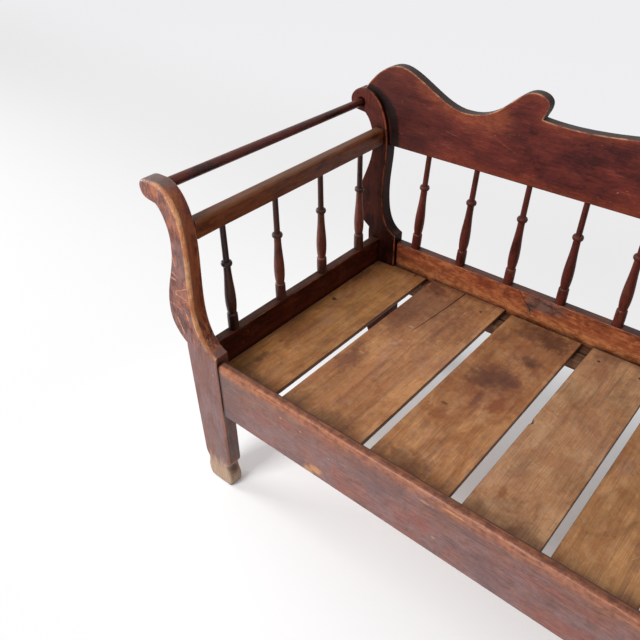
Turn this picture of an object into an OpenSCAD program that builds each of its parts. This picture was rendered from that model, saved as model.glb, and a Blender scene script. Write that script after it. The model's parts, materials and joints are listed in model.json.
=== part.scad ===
// Pull-out bench bed with scroll posts, turned spindles and interleaved seat slats
// X runs along the bench, Y from front to back, Z up. The origin is on the floor, at the middle.

/* [Seat] */
// Clear length between the left and the right legs
seat_len = 1525; // [1360:5:1900]
// Depth over the front and back posts
depth = 711; // [640:5:800]
// Height of the side and back rails' tops above the floor
rail_top = 418; // [380:1:460]
// Height of the side and back rails
rail_h = 154; // [140:1:180]
// Thickness of the side rails
side_rail_t = 26; // [20:1:34]
// Thickness of the back rail and the crest board
back_t = 26; // [20:1:28]
// Distance from a leg's inner face outwards to the middle of the arm
arm_line = 67; // [62:1:72]

/* [Posts] */
// Thickness of a post plank
post_t = 38; // [34:1:46]
// Width of a leg at the seat
leg_w = 98; // [94:1:104]
// Taper of a leg's outer edge down to the ankle
leg_taper = 7; // [0:1:12]
// Height of the ankle's notch
ankle_h = 65; // [50:1:80]
// Depth of the ankle's notch
ankle_cut = 12; // [6:1:16]
// Height of the scroll rod's axis above the rails' tops
head_rise = 375; // [340:1:420]
// Distance from a leg's inner face outwards to the scroll rod's axis
head_out = 136; // [125:1:145]
// Half width of the scroll head
head_r = 35; // [30:1:38]
// Half height of the scroll head
head_up = 23; // [20:0.5:26]
// Distance from a leg's inner face outwards to the belly's edge
belly_out = 139; // [130:1:150]
// Distance from a leg's inner face outwards to the neck's outer edge
neck_out = 97; // [93:1:104]
// Distance from a leg's inner face outwards to the neck's inner edge
neck_in = 48; // [40:1:50]
// How much higher the back posts' bend and crown are sawn
back_post_rise = 12; // [0:1:16]
// How much further in the back posts' necks and scroll heads stand
back_post_shift = 9; // [0:1:12]

/* [Arms] */
// Height of the arm rail's top above the side rail's top
arm_rise = 321; // [300:1:340]
// Height of an arm rail
arm_h = 42; // [34:1:48]
// Width of an arm rail
arm_w = 32; // [28:1:38]
// Radius of an arm's rounded upper edges
arm_round = 9; // [4:1:14]
// Diameter of a scroll rod at its front end
rod_front_d = 23.5; // [20:0.5:28]
// Diameter of a scroll rod at its back end
rod_back_d = 19.5; // [16:0.5:24]
// How far each arm spindle stands behind its place in an even row
arm_spindle_shift = [1.5, 5, 4, 1.5]; // [0:0.5:8]

/* [Back] */
// Height of the crest board's lower edge above the back rail
crest_bottom_rise = 276; // [260:1:300]
// Height of the crest's hump above the back rail
hump_rise = 480; // [470:1:500]
// Height of the crest's dip above the back rail
dip_rise = 407.5; // [380:0.5:420]
// Height of the crest's lobe above the back rail
lobe_rise = 486; // [470:1:500]
// Height of the crest's straight part above the back rail
middle_rise = 428; // [410:1:440]
// Extra height of the low arch in the middle of the crest
arch_h = 30; // [0:1:50]
// Distance of the dip from a leg's inner face
dip_x = 170; // [150:1:190]
// Distance of the lobe's middle from a leg's inner face
lobe_x = 330; // [310:1:350]
// Radius of the lobe's round end
lobe_r = 37; // [32:1:40]
// Distance of the straight part's start from a leg's inner face
straight_x = 430; // [400:1:480]
// Distance of the first back spindle's foot from a leg's inner face
foot_inset = 55; // [45:1:90]
// Distance of the first back spindle's top from a leg's inner face
top_inset = 74.5; // [45:1:95]

/* [Spindles] */
// Diameter of a spindle's round foot
spindle_foot_d = 26; // [24:0.5:32]
// Height of a spindle's round foot
spindle_foot_h = 42; // [36:1:48]
// Diameter of the groove above the foot
spindle_groove_d = 20.5; // [18:0.5:23]
// Diameter of a spindle's belly
spindle_belly_d = 26; // [22:0.5:30]
// Diameter of a spindle's bead
spindle_bead_d = 26; // [22:0.5:30]
// Height of the bead's middle above the foot of a back spindle
back_bead_z = 184; // [174:1:195]
// Height of the bead's middle above the foot of an arm spindle
arm_bead_z = 178; // [170:1:190]
// Height of the bead
spindle_bead_h = 13; // [10:1:18]
// Diameter of a spindle below its bead
spindle_neck_d = 17; // [14:0.5:20]
// Diameter of a spindle at its top
spindle_top_d = 13.5; // [12:0.5:16]
// Diameter of a spindle's lower tenon
tenon_low_d = 15; // [12:0.5:16]
// Diameter of a spindle's upper tenon
tenon_up_d = 11; // [9:0.5:12]
// Length of a spindle's tenons
tenon_len = 13; // [9:1:15]

/* [Seat slats] */
// Drop from the side rails' tops to the slats' tops
slat_drop = 71; // [60:1:80]
// Thickness of a slat
slat_t = 12; // [10:0.5:16]
// Gaps between the slats, from the left
slat_gaps = [17.5, 21.5, 26, 17.5, 20, 20, 20, 20]; // [12:0.5:30]
// Widths of the boards that the slats were sawn from, from the left
board_w = [163, 224, 189, 160, 152, 146, 148, 142, 146]; // [130:1:240]
// Gaps between the slats' back ends and the back rail, from the left
slat_end_gaps = [7, 2, 12, 8, 6, 9, 5, 10, 7]; // [2:1:14]
// Gap between the slats' front ends and the front rail
slat_front_gap = 1; // [0.5:0.5:3]
// Gap between a corner slat's notch and the post in it
notch_gap = 1; // [0.5:0.5:3]
// Width of the crack at the back end of the second slat
crack_w = 1.6; // [1:0.1:2.5]
// Length of that crack
crack_len = 235; // [100:5:300]

/* [Pull-out] */
// Thickness of the front rail
front_rail_t = 23; // [20:0.5:26]
// Height of the front rail
front_rail_h = 155; // [150:1:170]
// Drop from the side rails' tops to the front rail's top
front_rail_drop = 2; // [0:1:10]
// Radius of the front rail's worn upper edges
front_rail_round = 5; // [2:0.5:8]
// Gap between the front rail's ends and the legs
rail_end_gap = 6; // [3:0.5:10]
// Height of the cleat
cleat_h = 30; // [24:1:36]
// Gap between the cleat and the front stretcher when pushed in
stop_gap = 2; // [1:0.5:4]
// Gap between the front posts and the front stretcher
stretcher_gap = 7; // [5:1:10]
// Gap between the rear batten and the back ledger when pushed in
batten_gap = 7; // [4:1:15]
// Distance of the rear batten's ends from the outer sliding slats' edges
batten_inset = 20; // [5:1:40]
// Depth of the rear batten
batten_w = 32; // [26:1:36]
// Height of the rear batten
batten_h = 30; // [24:1:36]
// Thickness of the front stretcher
stretcher_t = 24; // [20:1:30]
// Height of the front stretcher
stretcher_h = 60; // [50:1:70]
// Depth of the back ledger
ledger_w = 28; // [22:1:32]
// Height of the back ledger
ledger_h = 50; // [40:1:60]
// Width of a prop leg
prop_w = 38; // [32:1:42]
// Play in front of and behind a prop leg
prop_play = 0.5; // [0.3:0.1:1]
// Gap between a stowed prop leg and the cleat above it
prop_gap = 3; // [1:0.5:5]
// Distance of a prop leg's pivot from the front rail's end
prop_inset = 100; // [60:5:150]
// Gap between a prop leg's foot and the floor
prop_lift = 1; // [0.5:0.5:3]
// Diameter of a prop leg's pivot screw
pivot_d = 8; // [6:0.5:10]
// Diameter of a pivot screw's head
pivot_head_d = 18; // [14:1:22]
// Thickness of a pivot screw's head
pivot_head_t = 4; // [3:0.5:5]
// Depth of a pivot screw in the front rail
pivot_depth = 14; // [10:1:16]
// Clearance of a prop leg's bore round its screw
pivot_fit = 0.3; // [0.2:0.05:0.5]

/* [Joinery] */
// Thickness of a rail's tenon
rail_tenon_t = 12; // [8:1:14]
// Height of a rail's tenon
rail_tenon_h = 100; // [80:1:110]
// Length of a rail's tenon
rail_tenon_len = 20; // [14:1:26]
// Shoulder round an arm's tenon
arm_shoulder = 7; // [5:1:10]
// Length of an arm's front tenon
arm_tenon_len = 18; // [12:1:24]
// Length of the front stretcher's tenons
stretcher_tenon_len = 15; // [10:1:18]
// Height of the front stretcher's tenons
stretcher_tenon_h = 36; // [28:1:40]
// Shoulder above, in front of and behind the stretcher's tenons
stretcher_shoulder = 6; // [4:1:8]
// Length of a scroll rod's front end in its post
rod_front_len = 18; // [12:1:24]
// Length of a scroll rod's back end in the crest behind its post
rod_crest_len = 8; // [5:1:14]
// Clearance of a tenon in its mortise
fit = 0.2; // [0.1:0.05:0.4]
// Diameter of a nail's head
nail_d = 6; // [4:0.5:8]
// Diameter of a nail's shank
shank_d = 2.6; // [2:0.1:3.5]
// Thickness of a nail's head
nail_head_t = 1.2; // [0.8:0.1:1.6]
// How deep a nail's head lies below the face of the wood
nail_sink = 0.2; // [0.1:0.1:0.4]
// Depth of a nail's point in the board behind
nail_bite = 16; // [10:1:17]
// Distance of a board's last nail from the legs
nail_row_inset = 60; // [40:5:100]

/* [Hidden] */
$fn = 48;

frame_colour = [0.23, 0.09, 0.06];
crest_colour = [0.33, 0.12, 0.07];
slat_colour = [0.55, 0.37, 0.20];
inner_colour = [0.45, 0.31, 0.18];
iron_colour = [0.25, 0.23, 0.21];
rod_segments = 64;                             // facets of the scroll rods in a preview
back_spindles = 11;

y_front = -depth / 2;
y_back = depth / 2;
x_leg = seat_len / 2;                          // inner face of the right legs
y_post = y_front + post_t;                     // back face of a front post
y_back_post = y_back - post_t;                 // front face of a back post
y_back_face = y_back - back_t;                 // front face of the back rail and the crest
y_back_mid = y_back - back_t / 2;
lap_t = post_t - back_t;                       // what is left of a back post before the crest
knee_rise = 12;
knee_z = rail_top + knee_rise;                 // where a leg's inner face bends out
head_z = rail_top + head_rise;                 // axis of the scroll rods
sweep = head_z - knee_z;                       // height of the S between knee and scroll
arm_top = rail_top + arm_rise;
arm_low = arm_top - arm_h;
crest_low = rail_top + crest_bottom_rise;
rail_low = rail_top - rail_h;
rail_tenon_low = rail_low + (rail_h - rail_tenon_h) / 2;
slat_top = rail_top - slat_drop;
slat_low = slat_top - slat_t;
x_arm = x_leg + arm_line;                      // middle of the right arm and side rail
x_side_in = x_arm - side_rail_t / 2;           // inner face of the right side rail
x_scroll = x_leg + head_out;                   // front end of the right scroll rod's axis
rod_run = y_back_post - y_post;                // how far back a scroll rod runs
rod_lean = atan(back_post_shift / rod_run);    // its turn inwards to the back post's head
rod_len = rod_run / cos(rod_lean);
front_rail_top = rail_top - front_rail_drop;
front_rail_low = front_rail_top - front_rail_h;
x_rail_end = x_leg - rail_end_gap;
y_rail_in = y_front + front_rail_t;            // back face of the front rail
y_stretch = y_post + stretcher_gap;            // front face of the front stretcher
y_cleat_in = y_stretch - stop_gap;             // back face of the cleat
cleat_t = y_cleat_in - y_rail_in;
y_stretch_in = y_stretch + stretcher_t;
y_ledger = y_back_face - ledger_w;             // front face of the back ledger
y_batten = y_ledger - batten_gap - batten_w;   // front face of the rear batten
y_slat_front = y_rail_in + slat_front_gap;
cleat_low = slat_low - cleat_h;
stretcher_tenon_low = slat_low - stretcher_shoulder - stretcher_tenon_h;
x_pivot = x_rail_end - prop_inset;             // pivot of the right prop leg
z_pivot = cleat_low - prop_gap - prop_w / 2;
prop_len = z_pivot - prop_lift;                // from the pivot to the foot
y_prop = y_rail_in + prop_play;
y_prop_in = y_cleat_in - prop_play;
head_sink = 1;                                 // how deep a pivot screw's head lies in its recess
head_seat = pivot_head_t + head_sink;          // depth of that recess
ledger_end_gap = 0.5;                          // gap between the ledger's ends and the legs
nail_edge = 8;                                 // least distance of a nail from a ledger's end
nail_row_half = 3;                             // nails on each side of a board's middle one
crest_nail_spots = [[-48, -28], [-32, 10]];    // each lap joint's nails, from the scroll's axis
crest_nail_rest = 4;                           // wood that is left before a crest nail's point
spare_len = 3;                                 // length that is trimmed off a leaning spindle
hole_end = 1;                                  // free depth at the end of a blind hole
over = 1;                                      // how far a cutting shape reaches past a face

// ---------- Curves ----------

// A cubic Bezier curve from a to d in n steps, without its first point
function bez(a, b, c, d, n) = [
    for (i = [1:n])
        let (t = i / n, s = 1 - t)
        s * s * s * a + 3 * s * s * t * b + 3 * s * t * t * c + t * t * t * d
];

// An outline of width w and height h, with both upper corners rounded by r
function round_top(w, h, r) = concat(
    [[-w / 2, 0], [w / 2, 0]],
    [for (a = [0:15:90]) [w / 2 - r + r * cos(a), h - r + r * sin(a)]],
    [for (a = [90:15:180]) [-w / 2 + r + r * cos(a), h - r + r * sin(a)]]
);

// Height on the S of a post, from 0 at the knee to 1 at the scroll's axis
function on_sweep(share) = knee_z + share * sweep;

// A post's outer edge from the knee up to the crown, as [distance outwards, height].
// rise lifts the knee and the crown, and shift moves the neck and the head inwards.
function outer_edge(rise, shift) =
    let (
        head = head_out - shift,
        thick = neck_out - shift,
        bulge = belly_out - shift / 2,
        knee = [leg_w - 1 - 0.4 * shift, knee_z + rise],
        belly = [bulge, on_sweep(0.207)],
        neck = [thick, on_sweep(0.735)],
        notch = [head - 11, head_z - head_up - 3],
        chin = [head + 12, head_z - head_up],
        nose = [head + head_r, head_z + 3],
        crown = [head - 4, head_z + head_up + rise]
    )
    concat(
        [knee],
        bez(knee, [bulge - 19, knee_z + rise + 15], [bulge, on_sweep(0.11)], belly, 12),
        bez(belly, [bulge, on_sweep(0.413)], [thick, on_sweep(0.523)], neck, 16),
        bez(neck, [thick + 1, on_sweep(0.826)], notch + [-14, -10], notch, 10),
        [chin],
        bez(chin, chin + [15, 1.5], nose + [0, -13], nose, 8),
        bez(nose, nose + [0, 16], crown + [20, 1], crown, 10)
    );

// A post's inner edge from the crown down to the knee
function inner_edge(rise, shift) =
    let (
        crown = [head_out - shift - 4, head_z + head_up + rise],
        neck = [neck_in - shift + 1.5, on_sweep(0.716)],
        waist = [neck_in - 0.7 * shift + 7.5, on_sweep(0.325) + rise],
        knee = [0, knee_z + rise]
    )
    concat(
        bez(crown, crown + [-52, 6], neck + [0, 80], neck, 16),
        bez(neck, neck + [0, -50], waist + [0, 52], waist, 12),
        bez(waist, waist + [0, -58], knee + [40, 14], knee, 14)
    );

// The straight leg below the knee, with its notched ankle and its flared foot
function leg_inner() = concat(
    [[0, ankle_h + 27]],
    bez([0, ankle_h + 27], [1, ankle_h + 12], [ankle_cut, ankle_h + 8], [ankle_cut, ankle_h], 5),
    bez([ankle_cut, ankle_h], [ankle_cut, ankle_h - 16], [4, ankle_h - 22], [4, ankle_h - 37], 5),
    bez([4, ankle_h - 37], [4, 12], [7, 5], [11, 0], 4)
);

function leg_outer() =
    let (edge = leg_w - leg_taper, waist = edge - ankle_cut + 3)
    concat(
        [[edge - 14, 0]],
        bez([edge - 14, 0], [edge - 6, 8], [edge - 3, 18], [edge - 3, ankle_h - 34], 5),
        bez([edge - 3, ankle_h - 34], [edge - 3, ankle_h - 18], [waist, ankle_h - 12], [waist, ankle_h], 5),
        bez([waist, ankle_h], [waist, ankle_h + 10], [edge - 1, ankle_h + 10], [edge, ankle_h + 30], 5)
    );

// The whole outline of a post; rise and shift tell the back posts from the front ones
function post_outline(rise, shift) = concat(
    outer_edge(rise, shift),
    inner_edge(rise, shift),
    leg_inner(),
    leg_outer(),
    [[leg_w - 0.4 * shift, knee_z + rise - 9]]
);

// The crest's upper edge from over the left post to the middle, as [distance inwards, height]
function crest_edge() =
    let (
        hump_z = rail_top + hump_rise,
        dip_z = rail_top + dip_rise,
        top_z = rail_top + lobe_rise,
        level_z = rail_top + middle_rise,
        start = [4 + back_post_shift - head_out, head_z + head_up + back_post_rise],
        hump = [-20, hump_z],
        dip = [dip_x, dip_z],
        lobe = [lobe_x + 2, top_z],
        side = [lobe_x + lobe_r, top_z - 23.4],
        notch = [side[0] - 10, level_z + 5],
        level = [straight_x, level_z],
        middle = [x_leg, level_z + arch_h],
        rise = lobe[0] - dip[0],
        arch = middle[0] - level[0]
    )
    concat(
        bez(start, start + [17, 27], hump + [-42, 0.5], hump, 12),
        bez(hump, hump + [55, 0], dip + [-65, -1.5], dip, 16),
        bez(dip, dip + [0.56 * rise, -0.02 * rise], lobe - [0.29 * rise, 0], lobe, 16),
        bez(lobe, lobe + [20, 0], side + [0, 14], side, 10),
        bez(side, side + [0, -11], notch + [4, 9], notch, 4),
        bez(notch, notch + [16, -2], notch + [40, -4.6], level, 4),
        bez(level, level + [0.39 * arch, 0], middle - [0.37 * arch, 0], middle, 12)
    );

// The crest's left half: the end follows the scroll of the post before it
function crest_half() = concat(
    [[back_post_shift - neck_out, crest_low]],
    [for (p = outer_edge(back_post_rise, back_post_shift)) if (p[1] > crest_low + 4) [-p[0], p[1]]],
    crest_edge()
);

// A turned spindle's outline, as [radius, height], with its bead at bead_z;
// spare is extra length at both ends
function spindle_line(height, bead_z, spare) =
    let (
        foot = spindle_foot_d / 2,
        groove = spindle_groove_d / 2,
        belly = spindle_belly_d / 2,
        neck = spindle_neck_d / 2,
        bead = spindle_bead_d / 2,
        top = spindle_top_d / 2,
        groove_z = spindle_foot_h + 4,
        belly_z = spindle_foot_h + 40
    )
    concat(
        [[0, -spare], [foot - 0.4, -spare]],
        bez([foot - 0.4, 0], [foot, 10], [foot, spindle_foot_h - 8], [foot - 0.5, spindle_foot_h], 5),
        [[groove, groove_z - 1]],
        bez([groove, groove_z], [groove + 1.5, groove_z + 9], [belly, belly_z - 18], [belly, belly_z], 7),
        bez([belly, belly_z], [belly, belly_z + 30], [neck, belly_z + 52],
            [neck, bead_z - spindle_bead_h / 2], 8),
        [for (a = [-70:20:70]) [neck + (bead - neck) * cos(a), bead_z + spindle_bead_h / 2 * sin(a)]],
        [[top + 0.5, bead_z + spindle_bead_h / 2]],
        [[top, height], [top, height + spare], [0, height + spare]]
    );

// ---------- Places ----------

function total(v, n) = n <= 0 ? 0 : v[n - 1] + total(v, n - 1);
slat_count = len(board_w);
slat_room = 2 * (x_side_in - notch_gap) - total(slat_gaps, slat_count - 1);
slat_scale = slat_room / total(board_w, slat_count);
function slat_w(i) = board_w[i] * slat_scale;
function slat_x(i) = notch_gap - x_side_in + total(board_w, i) * slat_scale + total(slat_gaps, i);
function slat_end(i) = y_back_face - slat_end_gaps[i];

// Slats 0, 2, 4, 6 and 8 stay in the bench; 1, 3, 5 and 7 slide out with the front rail
fixed_slats = [for (i = [0:2:slat_count - 1]) i];
sliding_slats = [for (i = [1:2:slat_count - 1]) i];
function nail_x(i) = [slat_x(i) + 0.2 * slat_w(i), slat_x(i) + 0.8 * slat_w(i)];
first_sliding = sliding_slats[0];
last_sliding = sliding_slats[len(sliding_slats) - 1];
x_batten_left = slat_x(first_sliding) + batten_inset;
x_batten_right = slat_x(last_sliding) + slat_w(last_sliding) - batten_inset;

fixed_nail_xs = [for (i = fixed_slats) for (x = nail_x(i)) if (abs(x) < x_leg - nail_edge) x];
stretch_nail_xs = [for (i = fixed_slats) for (x = nail_x(i)) x];
sliding_nail_xs = [for (i = sliding_slats) for (x = nail_x(i)) x];
y_stretch_nail = y_stretch + stretcher_t / 2;
y_ledger_nail = y_ledger + ledger_w / 2;
y_cleat_nail = y_rail_in + cleat_t / 2;
y_batten_nail = y_batten + batten_w / 2;
nail_row_xs = [
    for (i = [-nail_row_half:nail_row_half]) i * (x_leg - nail_row_inset) / nail_row_half
];
z_ledger_nail = slat_low - ledger_h / 2;
z_cleat_nail = slat_low - cleat_h / 2;
slat_nail = slat_t + nail_bite;                // lengths of the nails through each board
ledger_nail = ledger_w + nail_bite;
cleat_nail = cleat_t + nail_bite;
crest_nail = post_t - crest_nail_rest;

arm_spindle_count = len(arm_spindle_shift);
arm_pitch = (y_back_post - y_post) / arm_spindle_count;
function arm_spindle_y(i) = y_post + (i - 0.5) * arm_pitch + arm_spindle_shift[i - 1];

foot_pitch = (seat_len - 2 * foot_inset) / (back_spindles - 1);
top_pitch = (seat_len - 2 * top_inset) / (back_spindles - 1);
function foot_x(i) = foot_inset - x_leg + (i - 1) * foot_pitch;
function top_x(i) = top_inset - x_leg + (i - 1) * top_pitch;
function lean(i) = atan((top_x(i) - foot_x(i)) / crest_bottom_rise);
function spindle_height(i) = crest_bottom_rise / cos(lean(i));

// ---------- Helpers ----------

// Extrudes an outline in X and Z from y0 back by t
module xz(y0, t) {
    translate([0, y0 + t, 0]) rotate([90, 0, 0]) linear_extrude(t) children();
}

// Extrudes an outline in Y and Z from x0 to the right by length
module yz(x0, length) {
    translate([x0, 0, 0]) rotate([90, 0, 90]) linear_extrude(length) children();
}

// A box from one corner to another
module box(a, b) {
    translate(a) cube(b - a);
}

// Places its children on the right for 1 and mirrored on the left for -1
module on_side(s) {
    if (s < 0) mirror([1, 0, 0]) children();
    else children();
}

// A nail driven straight down into a face at the origin, its head let in a little below the face
module nail(length) {
    translate([0, 0, -nail_sink - nail_head_t]) cylinder(h = nail_head_t, d = nail_d);
    translate([0, 0, -length]) cylinder(h = length - nail_sink - nail_head_t / 2, d = shank_d);
}

// The hole for a nail, with the seat of its head
module nail_hole(length) {
    translate([0, 0, -length - hole_end]) cylinder(h = length + hole_end + over, d = shank_d + 2 * fit);
    translate([0, 0, -nail_sink - nail_head_t])
        cylinder(h = nail_sink + nail_head_t + over, d = nail_d + 2 * fit);
}

// Places its children at each x in xs
module down_at(xs, y, z) {
    for (x = xs) translate([x, y, z]) children();
}

// Turns a nail that points down so that it points backwards or forwards
module pointing_back() {
    rotate([90, 0, 0]) children();
}

module pointing_front() {
    rotate([-90, 0, 0]) children();
}

// ---------- Posts ----------

// The place of a side rail's or an arm's tenon, grown by gap all round
module rail_tenon(gap, y0, y1) {
    box([x_arm - rail_tenon_t / 2 - gap, y0, rail_tenon_low - gap],
        [x_arm + rail_tenon_t / 2 + gap, y1, rail_tenon_low + rail_tenon_h + gap]);
}

module arm_tenon(gap, y0, y1) {
    box([x_arm - arm_w / 2 + arm_shoulder - gap, y0, arm_low + arm_shoulder - gap],
        [x_arm + arm_w / 2 - arm_shoulder + gap, y1, arm_top - arm_shoulder + gap]);
}

module back_rail_tenon(gap, x0, x1) {
    box([x0, y_back_mid - rail_tenon_t / 2 - gap, rail_tenon_low - gap],
        [x1, y_back_mid + rail_tenon_t / 2 + gap, rail_tenon_low + rail_tenon_h + gap]);
}

// Places its children on the right scroll rod's axis, at the front post's back face
module on_rod() {
    translate([x_scroll, y_post, head_z]) rotate([0, 0, rod_lean]) rotate([-90, 0, 0]) children();
}

module rod_bore(z0, z1, d) {
    on_rod() translate([0, 0, z0]) cylinder(h = z1 - z0, d = d + 2 * fit);
}

module front_post(s) {
    color(frame_colour) on_side(s) difference() {
        xz(y_front, post_t) translate([x_leg, 0]) polygon(post_outline(0, 0));
        rail_tenon(fit, y_post - rail_tenon_len - hole_end, y_post + over);
        arm_tenon(fit, y_post - arm_tenon_len - hole_end, y_post + over);
        rod_bore(-rod_front_len - hole_end, over, rod_front_d);
    }
}

module back_post(s) {
    x_top = x_leg + head_out + head_r;
    z_top = head_z + head_up + back_post_rise;
    color(frame_colour) on_side(s) difference() {
        xz(y_back_post, post_t)
            translate([x_leg, 0]) polygon(post_outline(back_post_rise, back_post_shift));
        box([x_leg - over, y_back_face, crest_low], [x_top + over, y_back + over, z_top + over]);
        rail_tenon(fit, y_back_post - over, y_back_post + rail_tenon_len + hole_end);
        back_rail_tenon(fit, x_leg - over, x_leg + rail_tenon_len + hole_end);
        arm_tenon(fit, y_back_post - over, y_back_face + over);
        rod_bore(rod_len - over, rod_len + lap_t + over, rod_back_d);
        crest_nail_places() nail_hole(crest_nail);
    }
}

// ---------- Back ----------

// The places of each lap joint's nails, driven from behind, with their heads let into the crest
module crest_nail_places() {
    head = x_leg + head_out - back_post_shift;
    for (p = crest_nail_spots)
        translate([head + p[0], y_back, head_z + p[1]]) pointing_front() children();
}

module crest_rail() {
    half = crest_half();
    left = [for (p = half) [p[0] - x_leg, p[1]]];
    right = [for (i = [len(half) - 2:-1:0]) [x_leg - half[i][0], half[i][1]]];
    color(crest_colour) difference() {
        xz(y_back_face, back_t) polygon(concat(left, right));
        for (s = [-1, 1]) on_side(s) {
            rod_bore(rod_len + lap_t - over, rod_len + lap_t + rod_crest_len + hole_end, rod_back_d);
            crest_nail_places() nail_hole(crest_nail);
        }
        for (i = [1:back_spindles]) on_spindle(i) translate([0, 0, spindle_height(i) - over])
            cylinder(h = tenon_len + hole_end + over, d = tenon_up_d + 2 * fit);
    }
}

module back_seat_rail() {
    color(frame_colour) difference() {
        union() {
            box([-x_leg, y_back_face, rail_low], [x_leg, y_back, rail_top]);
            back_rail_tenon(0, -x_leg - rail_tenon_len, x_leg + rail_tenon_len);
        }
        for (i = [1:back_spindles]) on_spindle(i) translate([0, 0, -tenon_len - hole_end])
            cylinder(h = tenon_len + hole_end + 2 * over, d = tenon_low_d + 2 * fit);
        down_at(nail_row_xs, y_ledger, z_ledger_nail) pointing_back() nail_hole(ledger_nail);
    }
}

// ---------- Spindles ----------

// Places its children on a back spindle's axis, at the back rail's top
module on_spindle(i) {
    translate([foot_x(i), y_back_mid, rail_top]) rotate([0, lean(i), 0]) children();
}

module spindle_tenons(height) {
    translate([0, 0, -tenon_len]) cylinder(h = tenon_len + spare_len, d = tenon_low_d);
    translate([0, 0, height - spare_len]) cylinder(h = tenon_len + spare_len, d = tenon_up_d);
}

// A back spindle leans towards the middle, and both shoulders are trimmed level
module back_spindle(i) {
    height = spindle_height(i);
    color(frame_colour) union() {
        intersection() {
            on_spindle(i) rotate_extrude() polygon(spindle_line(height, back_bead_z, spare_len));
            box([-x_leg, y_back_face - spindle_foot_d, rail_top],
                [x_leg, y_back + spindle_foot_d, crest_low]);
        }
        on_spindle(i) spindle_tenons(height);
    }
}

module arm_spindle(s, i) {
    height = arm_low - rail_top;
    color(frame_colour) translate([s * x_arm, arm_spindle_y(i), rail_top]) union() {
        rotate_extrude() polygon(spindle_line(height, arm_bead_z, 0));
        spindle_tenons(height);
    }
}

// ---------- Sides ----------

module side_rail(s) {
    color(frame_colour) on_side(s) difference() {
        union() {
            box([x_side_in, y_post, rail_low], [x_side_in + side_rail_t, y_back_post, rail_top]);
            rail_tenon(0, y_post - rail_tenon_len, y_back_post + rail_tenon_len);
        }
        for (i = [1:arm_spindle_count])
            translate([x_arm, arm_spindle_y(i), rail_top - tenon_len - hole_end])
                cylinder(h = tenon_len + hole_end + over, d = tenon_low_d + 2 * fit);
        stretcher_tenon(fit, x_side_in - over, x_side_in + stretcher_tenon_len + hole_end);
    }
}

module arm_rail(s) {
    color(frame_colour) on_side(s) difference() {
        union() {
            xz(y_post, y_back_post - y_post)
                translate([x_arm, arm_low]) polygon(round_top(arm_w, arm_h, arm_round));
            arm_tenon(0, y_post - arm_tenon_len, y_back_face - fit);
        }
        for (i = [1:arm_spindle_count])
            translate([x_arm, arm_spindle_y(i), arm_low - over])
                cylinder(h = tenon_len + hole_end + over, d = tenon_up_d + 2 * fit);
    }
}

// A scroll rod is thicker in front; it stands in the front post and goes through to the crest
module scroll_rod(s) {
    color(frame_colour) on_side(s) on_rod() union() {
        translate([0, 0, -rod_front_len]) cylinder(h = rod_front_len, d = rod_front_d, $fn = rod_segments);
        cylinder(h = rod_len, d1 = rod_front_d, d2 = rod_back_d, $fn = rod_segments);
        translate([0, 0, rod_len]) cylinder(h = lap_t + rod_crest_len, d = rod_back_d, $fn = rod_segments);
    }
}

// ---------- Seat frame ----------

module stretcher_tenon(gap, x0, x1) {
    box([x0, y_stretch + stretcher_shoulder - gap, stretcher_tenon_low - gap],
        [x1, y_stretch_in - stretcher_shoulder + gap, stretcher_tenon_low + stretcher_tenon_h + gap]);
}

module front_stretcher() {
    x_tenon = x_side_in + stretcher_tenon_len;
    color(inner_colour) difference() {
        union() {
            box([-x_side_in, y_stretch, slat_low - stretcher_h], [x_side_in, y_stretch_in, slat_low]);
            stretcher_tenon(0, -x_tenon, x_tenon);
        }
        down_at(stretch_nail_xs, y_stretch_nail, slat_top) nail_hole(slat_nail);
    }
}

module back_ledger() {
    x_end = x_leg - ledger_end_gap;
    color(inner_colour) difference() {
        box([-x_end, y_ledger, slat_low - ledger_h], [x_end, y_back_face, slat_low]);
        down_at(fixed_nail_xs, y_ledger_nail, slat_top) nail_hole(slat_nail);
        down_at(nail_row_xs, y_ledger, z_ledger_nail) pointing_back() nail_hole(ledger_nail);
    }
}

module slat_board(i) {
    box([slat_x(i), y_slat_front, slat_low], [slat_x(i) + slat_w(i), slat_end(i), slat_top]);
}

module fixed_slat(n) {
    i = fixed_slats[n - 1];
    color(slat_colour) difference() {
        slat_board(i);
        for (s = [-1, 1]) on_side(s) {
            box([x_leg - notch_gap, y_front, slat_low - over],
                [x_side_in + over, y_post + notch_gap, slat_top + over]);
            box([x_leg - notch_gap, y_back_post - notch_gap, slat_low - over],
                [x_side_in + over, y_back + over, slat_top + over]);
        }
        down_at(nail_x(i), y_stretch_nail, slat_top) nail_hole(slat_nail);
        down_at(fixed_nail_xs, y_ledger_nail, slat_top) nail_hole(slat_nail);
    }
}

module fixed_slat_nails() {
    color(iron_colour) {
        down_at(stretch_nail_xs, y_stretch_nail, slat_top) nail(slat_nail);
        down_at(fixed_nail_xs, y_ledger_nail, slat_top) nail(slat_nail);
    }
}

module crest_nails() {
    color(iron_colour) for (s = [-1, 1]) on_side(s) crest_nail_places() nail(crest_nail);
}

module ledger_nails() {
    color(iron_colour) down_at(nail_row_xs, y_ledger, z_ledger_nail) pointing_back() nail(ledger_nail);
}

// ---------- Pull-out ----------

module front_rail() {
    color(frame_colour) difference() {
        yz(-x_rail_end, 2 * x_rail_end) translate([y_front + front_rail_t / 2, front_rail_low])
            polygon(round_top(front_rail_t, front_rail_h, front_rail_round));
        for (s = [-1, 1]) on_side(s)
            pivot_rod(y_rail_in - pivot_depth - hole_end, y_rail_in + over, pivot_d + 2 * fit);
        down_at(nail_row_xs, y_cleat_in, z_cleat_nail) pointing_front() nail_hole(cleat_nail);
    }
}

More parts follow.
